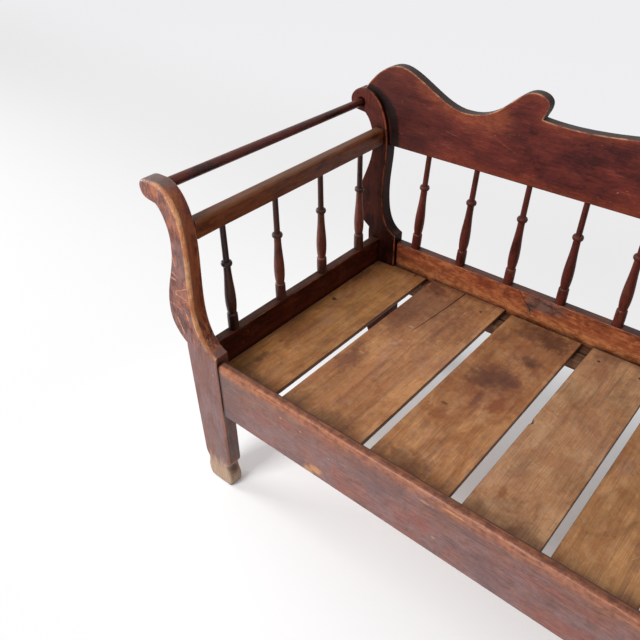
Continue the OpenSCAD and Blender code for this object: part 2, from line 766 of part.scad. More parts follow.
module front_cleat() {
    color(inner_colour) difference() {
        box([-x_rail_end, y_rail_in, cleat_low], [x_rail_end, y_cleat_in, slat_low]);
        down_at(sliding_nail_xs, y_cleat_nail, slat_top) nail_hole(slat_nail);
        down_at(nail_row_xs, y_cleat_in, z_cleat_nail) pointing_front() nail_hole(cleat_nail);
    }
}

module rear_batten() {
    color(inner_colour) difference() {
        box([x_batten_left, y_batten, slat_low - batten_h], [x_batten_right, y_batten + batten_w, slat_low]);
        down_at(sliding_nail_xs, y_batten_nail, slat_top) nail_hole(slat_nail);
    }
}

// The crack runs in from the back end of the wide slat and closes to a point
module crack(i) {
    mouth = [slat_x(i) + 0.47 * slat_w(i), slat_end(i) + over];
    bend = mouth + [-4, -0.36 * crack_len];
    tip = mouth + [-18, -crack_len];
    translate([0, 0, slat_low - over]) linear_extrude(slat_t + 2 * over)
        polygon([mouth - [crack_w / 2, 0], mouth + [crack_w / 2, 0], bend + [crack_w / 3, 0],
                 tip, bend - [crack_w / 3, 0]]);
}

module sliding_slat(n) {
    i = sliding_slats[n - 1];
    color(slat_colour) difference() {
        slat_board(i);
        down_at(nail_x(i), y_cleat_nail, slat_top) nail_hole(slat_nail);
        down_at(nail_x(i), y_batten_nail, slat_top) nail_hole(slat_nail);
        if (n == 1) crack(i);
    }
}

module sliding_slat_nails() {
    color(iron_colour) {
        down_at(sliding_nail_xs, y_cleat_nail, slat_top) nail(slat_nail);
        down_at(sliding_nail_xs, y_batten_nail, slat_top) nail(slat_nail);
    }
}

module cleat_nails() {
    color(iron_colour) down_at(nail_row_xs, y_cleat_in, z_cleat_nail) pointing_front() nail(cleat_nail);
}

// A round bar on the axis of the right prop leg's pivot
module pivot_rod(y0, y1, d) {
    translate([x_pivot, y0, z_pivot]) rotate([-90, 0, 0]) cylinder(h = y1 - y0, d = d);
}

module prop_leg(s) {
    color(inner_colour) on_side(s) difference() {
        union() {
            box([x_pivot - prop_len, y_prop, z_pivot - prop_w / 2],
                [x_pivot, y_prop_in, z_pivot + prop_w / 2]);
            pivot_rod(y_prop, y_prop_in, prop_w);
        }
        pivot_rod(y_prop - over, y_prop_in + over, pivot_d + 2 * pivot_fit);
        pivot_rod(y_prop_in - head_seat, y_prop_in + over, pivot_head_d + 4 * pivot_fit);
    }
}

module pivot_screw(s) {
    y_seat = y_prop_in - head_seat + pivot_fit;
    color(iron_colour) on_side(s) union() {
        pivot_rod(y_rail_in - pivot_depth, y_seat + pivot_head_t / 2, pivot_d);
        pivot_rod(y_seat, y_seat + pivot_head_t, pivot_head_d);
    }
}

// ---------- Assembly ----------

front_post(-1);  // front_post_left
front_post(1);  // front_post_right
back_post(-1);  // back_post_left
back_post(1);  // back_post_right
crest_rail();
back_seat_rail();
side_rail(-1);  // side_rail_left
side_rail(1);  // side_rail_right
arm_rail(-1);  // arm_rail_left
arm_rail(1);  // arm_rail_right
scroll_rod(-1);  // scroll_rod_left
scroll_rod(1);  // scroll_rod_right
for (i = [1:arm_spindle_count]) {
    arm_spindle(-1, i);
    arm_spindle(1, i);
}
for (i = [1:back_spindles])
    back_spindle(i);
back_ledger();
front_stretcher();
for (n = [1:len(fixed_slats)])
    fixed_slat(n);
fixed_slat_nails();
crest_nails();
ledger_nails();
front_rail();
front_cleat();
rear_batten();
for (n = [1:len(sliding_slats)])
    sliding_slat(n);
sliding_slat_nails();
cleat_nails();
prop_leg(-1);  // prop_leg_left
prop_leg(1);  // prop_leg_right
pivot_screw(-1);  // pivot_screw_left
pivot_screw(1);  // pivot_screw_right
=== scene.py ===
"""Looks of the pull-out bench bed: worn boards, materials, light and camera around the CAD frame."""

import itertools
import json
import math

import bmesh
import bpy
from mathutils import Matrix, Vector, noise

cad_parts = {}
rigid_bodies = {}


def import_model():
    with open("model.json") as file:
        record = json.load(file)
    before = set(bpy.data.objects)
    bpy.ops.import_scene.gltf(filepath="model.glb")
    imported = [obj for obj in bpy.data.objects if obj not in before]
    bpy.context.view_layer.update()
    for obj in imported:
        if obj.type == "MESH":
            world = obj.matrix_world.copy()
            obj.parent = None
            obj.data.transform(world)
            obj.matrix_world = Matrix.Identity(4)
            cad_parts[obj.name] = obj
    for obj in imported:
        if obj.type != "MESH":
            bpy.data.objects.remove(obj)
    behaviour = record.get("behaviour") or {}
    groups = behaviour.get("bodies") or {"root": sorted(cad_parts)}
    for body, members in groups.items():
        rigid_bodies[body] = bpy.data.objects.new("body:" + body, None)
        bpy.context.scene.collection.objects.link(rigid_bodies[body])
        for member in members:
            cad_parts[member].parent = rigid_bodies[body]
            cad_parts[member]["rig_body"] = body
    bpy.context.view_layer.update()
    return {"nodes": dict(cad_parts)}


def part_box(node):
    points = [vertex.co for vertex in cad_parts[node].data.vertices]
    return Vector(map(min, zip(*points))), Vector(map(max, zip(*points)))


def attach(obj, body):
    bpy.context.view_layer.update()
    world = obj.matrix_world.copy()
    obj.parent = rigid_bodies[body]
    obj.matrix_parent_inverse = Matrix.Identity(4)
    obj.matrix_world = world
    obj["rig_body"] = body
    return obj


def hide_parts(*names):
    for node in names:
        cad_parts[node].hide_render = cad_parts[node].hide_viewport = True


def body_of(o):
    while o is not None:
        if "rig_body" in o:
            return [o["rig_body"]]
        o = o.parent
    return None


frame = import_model()
nodes = frame["nodes"]
SIDES = {"left": -1, "right": 1}
AXES = {"X": 0, "Y": 1, "Z": 2}

# ---------- Camera ----------

CAMERA_PLACE = (0.1671, -1.062, 1.3811)
CAMERA_AZIMUTH = math.radians(41.32)
CAMERA_ELEVATION = math.radians(36.52)
CAMERA_ROLL = math.radians(-1.16)
CAMERA_LENS = 38.11
CAMERA_SENSOR = 36.0

# ---------- Places, from the frame ----------

POST_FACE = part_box("front_post_left")[0].y
BACK_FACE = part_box("crest_rail")[0].y
CREST_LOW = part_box("crest_rail")[0].z
SLAT_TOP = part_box("fixed_slat_2")[1].z
RAIL_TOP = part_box("back_seat_rail")[1].z
RAIL_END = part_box("front_rail")[1].x
RAIL_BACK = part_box("front_rail")[1].y
BENCH_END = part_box("front_post_right")[1].x

# ---------- Colours, as red, green and blue from 0 to 255 ----------

RUBBED = (140, 68, 36)
MAUVE = (128, 98, 98)
DUST = (96, 86, 80)
# A near black laid as real grime in pores, cracks and joints, and as painted shade in corners and beside
# the crest's posts.
GRIME_AND_SHADE = (16, 8, 6)
WORN_ORANGE = (184, 106, 62)
WORN_TAN = (206, 160, 118)
FOOT_WOOD = (178, 147, 120)
SLAT_DARK = (78, 46, 30)
SLAT_RUST = (122, 64, 34)
SLAT_VIOLET = (88, 46, 33)
SLAT_BURNT = (72, 35, 22)
SLAT_GREY = (170, 146, 128)
SLAT_PALE = (206, 160, 110)
SLAT_ROSE = (172, 124, 98)
SLAT_OLIVE = (134, 92, 50)
INNER_BROWN = (118, 82, 55)
INNER_SHADE = (88, 56, 36)
IRON = (52, 44, 40)
RUST = (92, 54, 36)
FLOOR = (243, 243, 244)
FLOOR_NEAR = (252, 252, 252)
FLOOR_FAR = (237, 236, 237)
BACKDROP = (242, 242, 244)
WHITE = (255, 255, 255)


def linear(colour):
    """A colour from 0 to 255 as linear red, green, blue and alpha."""
    def channel(c):
        c = c / 255
        return c / 12.92 if c <= 0.04045 else ((c + 0.055) / 1.055) ** 2.4
    return (*(channel(c) for c in colour), 1.0)


# ---------- Shader building ----------

RAY_SAMPLES = 6
FLAT_FACE = 0.998
WORN_ARRIS = 0.86
OPEN_AIR = 0.85
DEEP_NOOK = 0.35


class Shader:
    """Builds the nodes of one material. Most methods return an output socket.
    """

    def __init__(self, name, tree=None):
        if tree is None:
            self.material = bpy.data.materials.new(name)
            self.material.use_nodes = True
            tree = self.material.node_tree
        self.tree = tree
        self.tree.nodes.clear()
        self.colour = None

    def node(self, kind, inputs=(), **settings):
        """Adds a shader node. inputs are by name or number, and settings are its properties."""
        made = self.tree.nodes.new("ShaderNode" + kind)
        for key, value in settings.items():
            setattr(made, key, value)
        for key, value in dict(inputs).items():
            self.put(made.inputs[key], value)
        return made

    def put(self, socket, value):
        """Links an output to the socket, or sets the socket's value. Colours go from 0 to 255."""
        if isinstance(value, bpy.types.NodeSocket):
            self.tree.links.new(value, socket)
        elif isinstance(value, tuple) and len(value) == 3 and socket.type == "RGBA":
            socket.default_value = linear(value)
        else:
            socket.default_value = value

    def math(self, operation, a, b=0.0, clamp=False):
        return self.node("Math", {0: a, 1: b}, operation=operation, use_clamp=clamp).outputs[0]

    def times(self, product, *factors):
        for factor in factors:
            product = self.math("MULTIPLY", product, factor)
        return product

    def plus(self, a, b):
        return self.math("ADD", a, b)

    def weighted(self, *terms):
        """The sum of (value, weight) terms."""
        total = 0.0
        for value, weight in terms:
            total = self.plus(total, self.times(value, weight))
        return total

    def minus(self, a, b):
        return self.math("SUBTRACT", a, b)

    def most(self, a, b):
        return self.math("MAXIMUM", a, b)

    def rest(self, mask):
        """What a mask leaves: 1 where it is 0."""
        return self.math("SUBTRACT", 1.0, mask, clamp=True)

    def ragged(self, value, pattern, reach):
        """The value shifted by a noise pattern, which makes a border found in it ragged."""
        return self.plus(value, self.times(self.minus(pattern, 0.5), reach))

    def vector(self, operation, a, b=(0.0, 0.0, 0.0)):
        return self.node("VectorMath", {0: a, 1: b}, operation=operation).outputs[0]

    def number(self, operation, a, b=(0.0, 0.0, 0.0)):
        return self.node("VectorMath", {0: a, 1: b}, operation=operation).outputs["Value"]

    def mix(self, factor, a, b):
        made = self.node("Mix", data_type="RGBA")
        self.put(made.inputs[0], factor)
        self.put(made.inputs[6], a)
        self.put(made.inputs[7], b)
        return made.outputs[2]

    def paint(self, tint, *masks):
        """Lays tint over the colour so far, as strongly as the masks say when multiplied."""
        self.colour = self.mix(self.times(*masks), self.colour, tint)

    def level(self, value, low, high, top=1.0, bottom=0.0):
        """Maps low to bottom and high to top, smoothly and clamped."""
        return self.node(
            "MapRange",
            {"Value": value, "From Min": low, "From Max": high, "To Min": bottom, "To Max": top},
            interpolation_type="SMOOTHSTEP").outputs[0]

    def place(self, offset=(0.0, 0.0, 0.0)):
        """The surface point in the piece's own frame, moved by offset."""
        coords = self.node("TexCoord").outputs["Object"]
        return self.vector("ADD", coords, offset)

    def height(self):
        """How high the surface point lies above the floor at rest."""
        return self.split(self.place())[2]

    def split(self, vector):
        return self.node("SeparateXYZ", {0: vector}).outputs

    def noise(self, point, scale, detail=3.0, roughness=0.55, distortion=0.0):
        return self.node(
            "TexNoise",
            {"Vector": point, "Scale": scale, "Detail": detail, "Roughness": roughness,
             "Distortion": distortion}).outputs[0]

    def stretch(self, point, axis, share):
        """The point squeezed along axis, which draws a pattern out along it."""
        scale = [1.0, 1.0, 1.0]
        scale[AXES[axis]] = share
        return self.vector("MULTIPLY", point, tuple(scale))

    def turned(self, point, angle):
        """The point turned about Z, in radians."""
        return self.node(
            "VectorRotate", {"Vector": point, "Angle": angle}, rotation_type="Z_AXIS").outputs[0]

    def normal(self):
        return self.node("NewGeometry").outputs["Normal"]

    def drawn(self, offset, axis, share, scale, detail, roughness, distortion=0.0):
        """Noise drawn out along an axis. Each offset gives a pattern of its own."""
        point = self.stretch(self.place(offset), axis, share)
        return self.noise(point, scale, detail, roughness, distortion)

    def near_arris(self, radius):
        """1 on arrises, falling to 0 at about radius from them."""
        soft = self.node("Bevel", {"Radius": radius}, samples=RAY_SAMPLES).outputs[0]
        return self.level(self.number("DOT_PRODUCT", soft, self.normal()), FLAT_FACE, WORN_ARRIS)

    def on_arris(self, across, low=0.12, high=0.5):
        """1 on the rounded arrises of a board whose thickness runs along the axis across."""
        flat = self.math("ABSOLUTE", self.split(self.normal())[AXES[across]])
        side = self.math("SQRT", self.rest(self.times(flat, flat)))
        return self.level(self.math("MINIMUM", flat, side), low, high)

    def broad(self, across):
        """1 on a board's two broad faces."""
        return self.level(self.math("ABSOLUTE", self.split(self.normal())[AXES[across]]), 0.5, 0.9)

    def nook(self, distance):
        """1 deep in corners and joints, 0 in the open."""
        air = self.node("AmbientOcclusion", {"Distance": distance}, samples=RAY_SAMPLES)
        return self.level(air.outputs["AO"], OPEN_AIR, DEEP_NOOK)

    def facing(self, axis, sign, low, high):
        """1 on faces that look along sign times axis."""
        return self.level(self.times(self.split(self.normal())[AXES[axis]], sign), low, high)

    def blot(self, centre, radii, fray, grain):
        """1 inside a frayed ellipsoid, 0 outside. A radius of None leaves that axis out."""
        scale = tuple(0.0 if r is None else 1.0 / r for r in radii)
        away = self.vector("MULTIPLY", self.vector("SUBTRACT", self.place(), centre), scale)
        wander = self.noise(self.place(centre), grain, 5, 0.65)
        return self.level(self.ragged(self.number("LENGTH", away), wander, 2 * fray), 1.1, 0.35)

    def from_line(self, *points):
        """Distance from the line through points."""
        least = None
        for start, end in zip(points, points[1:]):
            start, run = Vector(start), Vector(end) - Vector(start)
            point = self.vector("SUBTRACT", self.place(), tuple(start))
            ahead = self.number("DOT_PRODUCT", point, tuple(run))
            share = self.math("DIVIDE", ahead, run.length_squared, clamp=True)
            nearest = self.node("VectorMath", {0: tuple(run), "Scale": share}, operation="SCALE")
            away = self.number("LENGTH", self.vector("SUBTRACT", point, nearest.outputs[0]))
            least = away if least is None else self.math("MINIMUM", least, away)
        return least

    def scratch(self, face, ends, width):
        """1 on a thin worn line on the plane y = face. ends are x and z at both ends."""
        start, end = (ends[0], face, ends[1]), (ends[2], face, ends[3])
        wander = self.times(self.noise(self.place(start), 120, 3, 0.6), 1.8 * width)
        return self.level(self.plus(self.from_line(start, end), wander), 1.9 * width, 0.8 * width)

    def bump(self, height, distance, strength=1.0):
        made = self.node("Bump", {"Height": height, "Distance": distance, "Strength": strength})
        return made.outputs[0]

    def finish(self, roughness, normal, specular=0.5):
        """Joins a glossy surface of the colour so far to the output, and returns the material."""
        surface = self.node(
            "BsdfPrincipled",
            {"Base Color": self.colour, "Roughness": roughness, "Normal": normal,
             "Specular IOR Level": specular})
        self.put(self.node("OutputMaterial").inputs[0], surface.outputs[0])
        return self.material

    def blend(self, output, factor, below, above):
        """Joins a blend of two shaders to an output node of this kind."""
        made = self.node("MixShader")
        self.put(made.inputs[0], factor)
        self.put(made.inputs[1], below.outputs[0])
        self.put(made.inputs[2], above.outputs[0])
        self.put(self.node(output).inputs[0], made.outputs[0])


# ---------- Wood ----------


def grain_place(s, seed):
    """The surface point, shifted by seed so that no two boards share their grain."""
    return s.place((seed * 1.7, seed * 0.9, seed * 1.3))


def add_bloom(s, along, seed, film):
    """Lays the mauve bloom of old varnish over the colour, in patches of up to the share film."""
    patches = s.drawn((seed, 0.3, 0.8), along, 0.6, 19, 7, 0.72, 0.4)
    threads = s.noise(s.stretch(grain_place(s, seed), along, 0.045), 170, 4, 0.6)
    bloom = s.weighted((patches, 0.85), (threads, 0.15))
    s.paint(MAUVE, s.level(bloom, 0.4, 0.6, film, film * 0.25))


def rub_bare(s, along, across, seed, rub, spread):
    """Bares the arrises, with a halo around, and scatters bare flecks. Returns the flecks' mask."""
    point = grain_place(s, seed)
    worn = s.drawn((seed, 0.4, 0.2), along, 0.4, 46, 6, 0.7)
    arris = s.weighted((s.on_arris(across), 0.7), (s.near_arris(spread), 0.5))
    bare_at = s.ragged(arris, worn, 2.0)
    s.paint(RUBBED, s.level(bare_at, 0.6 - 0.4 * rub, 1.25 - 0.4 * rub, 0.6))
    bare = s.mix(s.level(s.noise(point, 24, 4, 0.6), 0.4, 0.62), WORN_ORANGE, WORN_TAN)
    s.paint(bare, s.level(bare_at, 1.15 - 0.7 * rub, 1.55 - 0.7 * rub), 0.9)
    flecks = s.level(s.noise(s.stretch(point, along, 0.45), 240, 3, 0.6), 0.66, 0.71)
    flecks = s.times(flecks, s.level(s.noise(point, 8, 2, 0.5), 0.44, 0.6), 0.8 * rub)
    s.paint(WORN_TAN, flecks)
    return flecks


def stained_wood(name, along, across, seed, tints, tone=0.5, film=0.0, rub=0.5, spread=0.01, top_dust=0.4,
                 gloss=0.4, shine=0.3, sawn=None, marks=None):
    """Old stained softwood with grain along one axis and its thickness across another.

    tints are the dark, middle and warm stain, and a lower tone gives more of the dark one. film is the
    share of mauve bloom, rub how bare the arrises are (0 on turned pieces) and spread how far that
    reaches. sawn is the colour of the sawn edges. marks(s) adds what is found in one place only.
    """
    dark, middle, warm = tints
    s = Shader(name)
    point = grain_place(s, seed)
    along_grain = s.stretch(point, along, 0.045)
    fibre = s.noise(along_grain, 430, 4, 0.62)
    streak = s.noise(along_grain, 70, 5, 0.62, 0.4)
    cloud = s.noise(point, 6.5, 4, 0.6)
    patch = s.noise(s.stretch(point, along, 0.45), 24, 6, 0.7, 0.3)
    speck = s.noise(s.stretch(point, along, 0.5), 150, 4, 0.7)
    pores = s.level(s.noise(s.stretch(point, along, 0.1), 620, 2, 0.5), 0.38, 0.31)
    stain = s.weighted((cloud, 0.26), (patch, 0.42), (streak, 0.14), (speck, 0.18))
    border = 0.5 - 0.16 * (tone - 0.5)
    s.colour = s.mix(s.level(stain, border - 0.11, border + 0.02), dark, middle)
    s.paint(warm, s.level(stain, border + 0.02, border + 0.12, 0.9))
    if sawn:
        s.paint(sawn, s.rest(s.broad(across)), 0.85)
    if film:
        add_bloom(s, along, seed, film)
    flecks = 0.0
    if rub:
        flecks = rub_bare(s, along, across, seed, rub, spread)
    if marks:
        marks(s)
    s.paint(GRIME_AND_SHADE, pores, 0.4)
    s.paint(GRIME_AND_SHADE, s.level(fibre, 0.6, 0.4, 0.3))
    s.paint(DUST, s.facing("Z", 1, 0.75, 0.98), s.level(patch, 0.36, 0.62, top_dust, 0.35 * top_dust))
    # Painted shade in corners and joints, found by ambient occlusion, with some grime.
    s.paint(GRIME_AND_SHADE, s.nook(0.02), 0.8)
    rough = s.level(patch, 0.34, 0.66, gloss + 0.16, gloss - 0.08)
    relief = s.weighted((fibre, 0.5), (streak, 0.5), (speck, 0.35), (flecks, -0.5), (pores, -0.5))
    return s.finish(rough, s.bump(relief, 0.0008, 0.6), shine)


SCUFF_ANGLES = (0.5, -0.9)
SAW_ANGLE = 0.35


def slat_wood(name, seed, light, brown, stains_and_shadow, saw):
    """Bare aged softwood. saw is how plainly saw marks show; the blots listed for each slat give its
    stains, and on the first slat also a painted shadow.
    """
    s = Shader(name)
    point = s.place((seed * 0.37, seed * 0.61, 0.0))
    grain = s.stretch(point, "Y", 0.035)
    bands = s.noise(grain, 26, 4, 0.55, 0.6)
    streak = s.noise(grain, 95, 5, 0.6, 0.4)
    fibre = s.noise(grain, 560, 4, 0.62)
    mottle = s.noise(s.stretch(point, "Y", 0.55), 12, 5, 0.62, 0.5)
    fine = s.noise(point, 60, 5, 0.68)
    s.colour = s.mix(s.level(mottle, 0.38, 0.62), light, brown)
    hue = s.drawn((0.9, seed, 0), "Y", 0.45, 9, 5, 0.62, 0.4)
    s.paint(SLAT_ROSE, s.level(hue, 0.52, 0.66, 0.45))
    s.paint(SLAT_OLIVE, s.level(hue, 0.48, 0.36, 0.45))
    s.paint(SLAT_RUST, s.level(bands, 0.46, 0.66, 0.4))
    s.paint(SLAT_DARK, s.level(streak, 0.51, 0.66, 0.3))
    dirt = s.drawn((seed, 0.4, 0), "Y", 0.7, 15, 9, 0.74, 0.5)
    s.paint(SLAT_DARK, s.level(dirt, 0.51, 0.64, 0.32))
    s.paint(SLAT_PALE, s.level(dirt, 0.47, 0.36, 0.34))
    s.paint(SLAT_RUST, s.level(fine, 0.52, 0.66, 0.26))
    s.paint(SLAT_GREY, s.level(fine, 0.48, 0.34, 0.22))
    for angle in SCUFF_ANGLES:
        scuffs = s.noise(s.stretch(s.turned(point, angle), "Y", 0.04), 260, 2, 0.5)
        s.paint(SLAT_PALE, s.level(scuffs, 0.66, 0.72), s.level(dirt, 0.56, 0.44, 0.35, 0.1))
    s.paint(SLAT_DARK, s.level(fibre, 0.6, 0.4, 0.28))
    teeth = s.noise(s.stretch(s.turned(point, SAW_ANGLE), "X", 0.03), 330, 2, 0.5)
    s.paint(SLAT_DARK, s.level(teeth, 0.5, 0.66), saw)
    toward_end = s.ragged(s.math("ABSOLUTE", s.split(s.place())[1]), s.noise(point, 20, 5, 0.65), 0.16)
    s.paint(SLAT_DARK, s.level(toward_end, 0.265, 0.345, 0.6))
    # Stains, and on the first slat the side rail's shadow, painted.
    for x, y, rx, ry, tint, strength in stains_and_shadow:
        s.paint(tint, s.blot((x, y, SLAT_TOP), (rx, ry, None), 1.2, 52.0), strength)
    edge = s.weighted((s.on_arris("Z"), 0.8), (s.near_arris(0.006), 0.4))
    s.paint(SLAT_DARK, edge, s.level(fine, 0.3, 0.6, 0.85, 0.35))
    s.paint(SLAT_DARK, s.rest(s.broad("Z")), 0.65)
    # Painted shade in corners and joints, found by ambient occlusion, with some grime.
    s.paint(SLAT_DARK, s.nook(0.035), 0.7)
    rough = s.level(mottle, 0.3, 0.7, 0.66, 0.5)
    relief = s.weighted((fibre, 0.7), (streak, 0.3), (teeth, saw))
    return s.finish(rough, s.bump(relief, 0.0006, 0.5), 0.4)


def inner_wood(name, along, seed):
    """Plain unstained wood of the hidden parts."""
    s = Shader(name)
    point = s.place((seed, seed * 0.7, seed * 1.1))
    grain = s.stretch(point, along, 0.045)
    streak = s.noise(grain, 90, 5, 0.65, 0.4)
    cloud = s.noise(point, 9, 5, 0.62)
    s.colour = s.mix(s.level(streak, 0.35, 0.7), INNER_BROWN, INNER_SHADE)
    s.paint(SLAT_DARK, s.level(cloud, 0.42, 0.7, 0.6))
    s.paint(SLAT_DARK, s.near_arris(0.004), 0.3)
    # Painted shade in corners and joints, found by ambient occlusion, with some grime.
    s.paint(GRIME_AND_SHADE, s.nook(0.03), 0.7)
    return s.finish(s.level(cloud, 0.3, 0.7, 0.74, 0.6), s.bump(streak, 0.0008, 0.5), 0.35)


def iron(name):
    """Old nails and screws, dark with a little rust."""
    s = Shader(name)
    spots = s.noise(s.place(), 240, 4, 0.7)
    s.colour = s.mix(s.level(spots, 0.42, 0.62), IRON, RUST)
    return s.finish(s.level(spots, 0.3, 0.7, 0.7, 0.45), s.bump(spots, 0.0004, 0.6))


# ---------- Geometry ----------

SAME_POINT = 0.00002
SAME_PLANE = math.radians(0.4)
SHARP = math.radians(32)
CORNER = math.radians(50)
BLENDS = 200
WIDEST_ARRIS = 0.012
LEAST_WORN = 0.0002
AT_EDGE = 0.0015
GRID = 0.034
BITE_CUTS = (-1, -0.6, -0.25, 0.1, 0.5, 1)


def new_object(name, data):
    """A new object in the scene."""
    made = bpy.data.objects.new(name, data)
    bpy.context.scene.collection.objects.link(made)
    return made


def lumps(point, size):
    """Smooth noise from 0 to 1 that changes over size metres."""
    return 0.5 + 0.5 * noise.noise(Vector(point) / size)


def soften(piece, bevel):
    """Rounds what bevel says and keeps broad faces flat."""
    bevel.segments = 4
    bevel.use_clamp_overlap = False
    flat = piece.modifiers.new("flat_faces", "WEIGHTED_NORMAL")
    flat.weight = 50
    flat.keep_sharp = True


def cut_across(board, name, along, bites, rolled):
    """Cuts a straight board into a grid, which gives its faces and edges points to move."""
    low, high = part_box(name)
    cuts = []
    for k in range(3):
        count = round((high[k] - low[k]) / GRID)
        cuts += [(k, low[k] + (high[k] - low[k]) * i / count) for i in range(1, count)]
    k = AXES[along]
    for place, reach, _ in bites:
        cuts += [(k, place[k] + reach * share) for share in BITE_CUTS]
    if rolled:
        cuts += [(1, low.y + rolled), (2, high.z - rolled)]
    for k, coordinate in cuts:
        place, normal = Vector((0, 0, 0)), Vector((0, 0, 0))
        place[k], normal[k] = coordinate, 1
        everything = board.verts[:] + board.edges[:] + board.faces[:]
        bmesh.ops.bisect_plane(board, geom=everything, dist=SAME_POINT, plane_co=place, plane_no=normal)


def cut_edges(board):
    """Cuts the long edges of a sawn outline, and leaves its faces whole."""
    for edge in board.edges[:]:
        from_here = edge.verts[0]
        for left in range(round(edge.calc_length() / GRID), 1, -1):
            _, from_here = bmesh.utils.edge_split(edge, from_here, 1 / left)


def blend_runs(board, weight):
    """Blends the widths of arrises that turn gently into each other, which keeps the bevel clean."""
    beside = {edge: [] for edge in board.edges if edge[weight]}
    for vertex in board.verts:
        worn = [edge for edge in vertex.link_edges if edge in beside]
        for edge, other in itertools.combinations(worn, 2):
            ahead = edge.other_vert(vertex).co - vertex.co
            if ahead.angle(vertex.co - other.other_vert(vertex).co) < CORNER:
                beside[edge].append(other)
                beside[other].append(edge)
    for _ in range(BLENDS):
        widths = {edge: (2 * edge[weight] + sum(other[weight] for other in others)) / (2 + len(others))
                  for edge, others in beside.items()}
        for edge, width in widths.items():
            edge[weight] = width


def roll_over(board, name, radius):
    """Rounds the front top arris of a straight board further than it was made."""
    face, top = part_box(name)[0].y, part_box(name)[1].z
    for vertex in board.verts:
        away = Vector((vertex.co.y - face - radius, top - vertex.co.z - radius))
        if max(away) < 0 and away.length > radius:
            away *= radius / away.length
            vertex.co.y, vertex.co.z = face + radius + away.x, top - radius - away.y


def clean_copy(source):
    """A bmesh copy of a CAD node in its place, with welded points and whole flat faces."""
    board = bmesh.new()
    board.from_mesh(source.data)
    board.transform(source.matrix_world)
    bmesh.ops.remove_doubles(board, verts=board.verts, dist=SAME_POINT)
    bmesh.ops.dissolve_limit(board, angle_limit=SAME_PLANE, verts=board.verts, edges=board.edges)
    return board


def mark_arrises(board, arris):
    """Gives each sharp outward edge the weight of its worn radius. Returns the weights' layer."""
    weight = board.edges.layers.float.new("bevel_weight_edge")
    for edge in board.edges:
        angle = edge.calc_face_angle_signed(0) if len(edge.link_faces) == 2 else 0
        if abs(angle) <= SHARP:
            continue
        middle = (edge.verts[0].co + edge.verts[1].co) / 2
        radius = arris(middle, [f.normal for f in edge.link_faces]) if angle > 0 else 0
        edge[weight] = min(radius / WIDEST_ARRIS, 1)
        edge.smooth = radius > 0
    return weight


def wear_faces(board, waver, bites):
    """Moves the faces in by an uneven depth, and further at the bites. The soles stay on the floor."""
    moves = {}
    for vertex in board.verts:
        if abs(vertex.co.z) < SAME_POINT:
            continue
        depth = LEAST_WORN + waver * (0.7 * lumps(vertex.co, 0.11) + 0.3 * lumps(vertex.co, 0.03))
        for place, reach, bite in bites:
            share = 1 - (vertex.co - Vector(place)).length / reach
            depth += bite * max(share, 0) ** 0.5
        moves[vertex] = -vertex.normal * depth
    for vertex, move in moves.items():
        vertex.co += move


def worn_board(name, material, arris, along=None, waver=0.0006, bites=(), rolled=0.0):
    """A copy of a CAD board with uneven faces and worn arrises, which stands for it.

    arris(middle, normals) gives the radius worn on an edge with that middle. along is the axis of a
    straight board, and None for a sawn outline. bites are (place, reach, depth), where an edge has
    lost a splinter. rolled is the radius worn on the front top arris.
    """
    source = nodes[name]
    board = clean_copy(source)
    if along:
        cut_across(board, name, along, bites, rolled)
    else:
        cut_edges(board)
    if rolled:
        roll_over(board, name, rolled)
    board.normal_update()
    weight = mark_arrises(board, arris)
    if not along:
        blend_runs(board, weight)
    wear_faces(board, waver, bites)
    data = bpy.data.meshes.new(f"{name}_worn")
    board.to_mesh(data)
    board.free()
    data.materials.append(material)
    for polygon in data.polygons:
        polygon.use_smooth = True
    piece = new_object(f"{name}_worn", data)
    bevel = piece.modifiers.new("worn_arrises", "BEVEL")
    bevel.width = WIDEST_ARRIS
    bevel.limit_method = "WEIGHT"
    soften(piece, bevel)
    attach(piece, body_of(source)[0])
    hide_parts(name)


def dress(name, material, radius):
    """Gives a CAD node its material and softens its arrises."""
    piece = nodes[name]
    piece.data.materials.clear()
    piece.data.materials.append(material)
    for polygon in piece.data.polygons:
        polygon.use_smooth = True
    weld = piece.modifiers.new("weld", "WELD")
    weld.merge_threshold = SAME_POINT
    bevel = piece.modifiers.new("worn_arrises", "BEVEL")
    bevel.width = radius
    bevel.limit_method = "ANGLE"
    bevel.angle_limit = SHARP
    soften(piece, bevel)
    bevel.segments = 2
    bevel.use_clamp_overlap = True


def outer_edges(name, along, long_radii, end_radius=0.0006):
    """The arris of a board like a box: long_radii on its upper and lower long edges, else end_radius."""
    low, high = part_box(name)
    others = [k for k in range(3) if k != AXES[along]]

    def arris(middle, normals):
        outside = all(min(middle[k] - low[k], high[k] - middle[k]) < AT_EDGE for k in others)
        if not outside:
            return end_radius
        up = max(n.z for n in normals) > 0.5
        radius = long_radii[0] if up else long_radii[1]
        return radius * (0.55 + 0.8 * lumps(middle, 0.05))
    return arris


# ---------- Posts ----------

KNEE = RAIL_TOP + 0.012
FOOT_TOP = 0.075
NECK_BEGINS = (0.66, 0.76)
NECK_ENDS = (0.845, 0.8)
HEAD_BEGINS = (0.8, 0.85)
SCROLL_SIDE_BEGINS = (0.78, 0.84)
SCROLL_TOP_BEGINS = (0.8, 0.84)

CORNER_RADIUS = 0.0015
REAR_RADIUS = 0.0025
FOOT_RADIUS = 0.008
LEG_RADIUS = 0.0042
BACK_POST_RADIUS = 0.0045
INNER_RADIUS = 0.0095
OUTER_RADIUS = 0.005

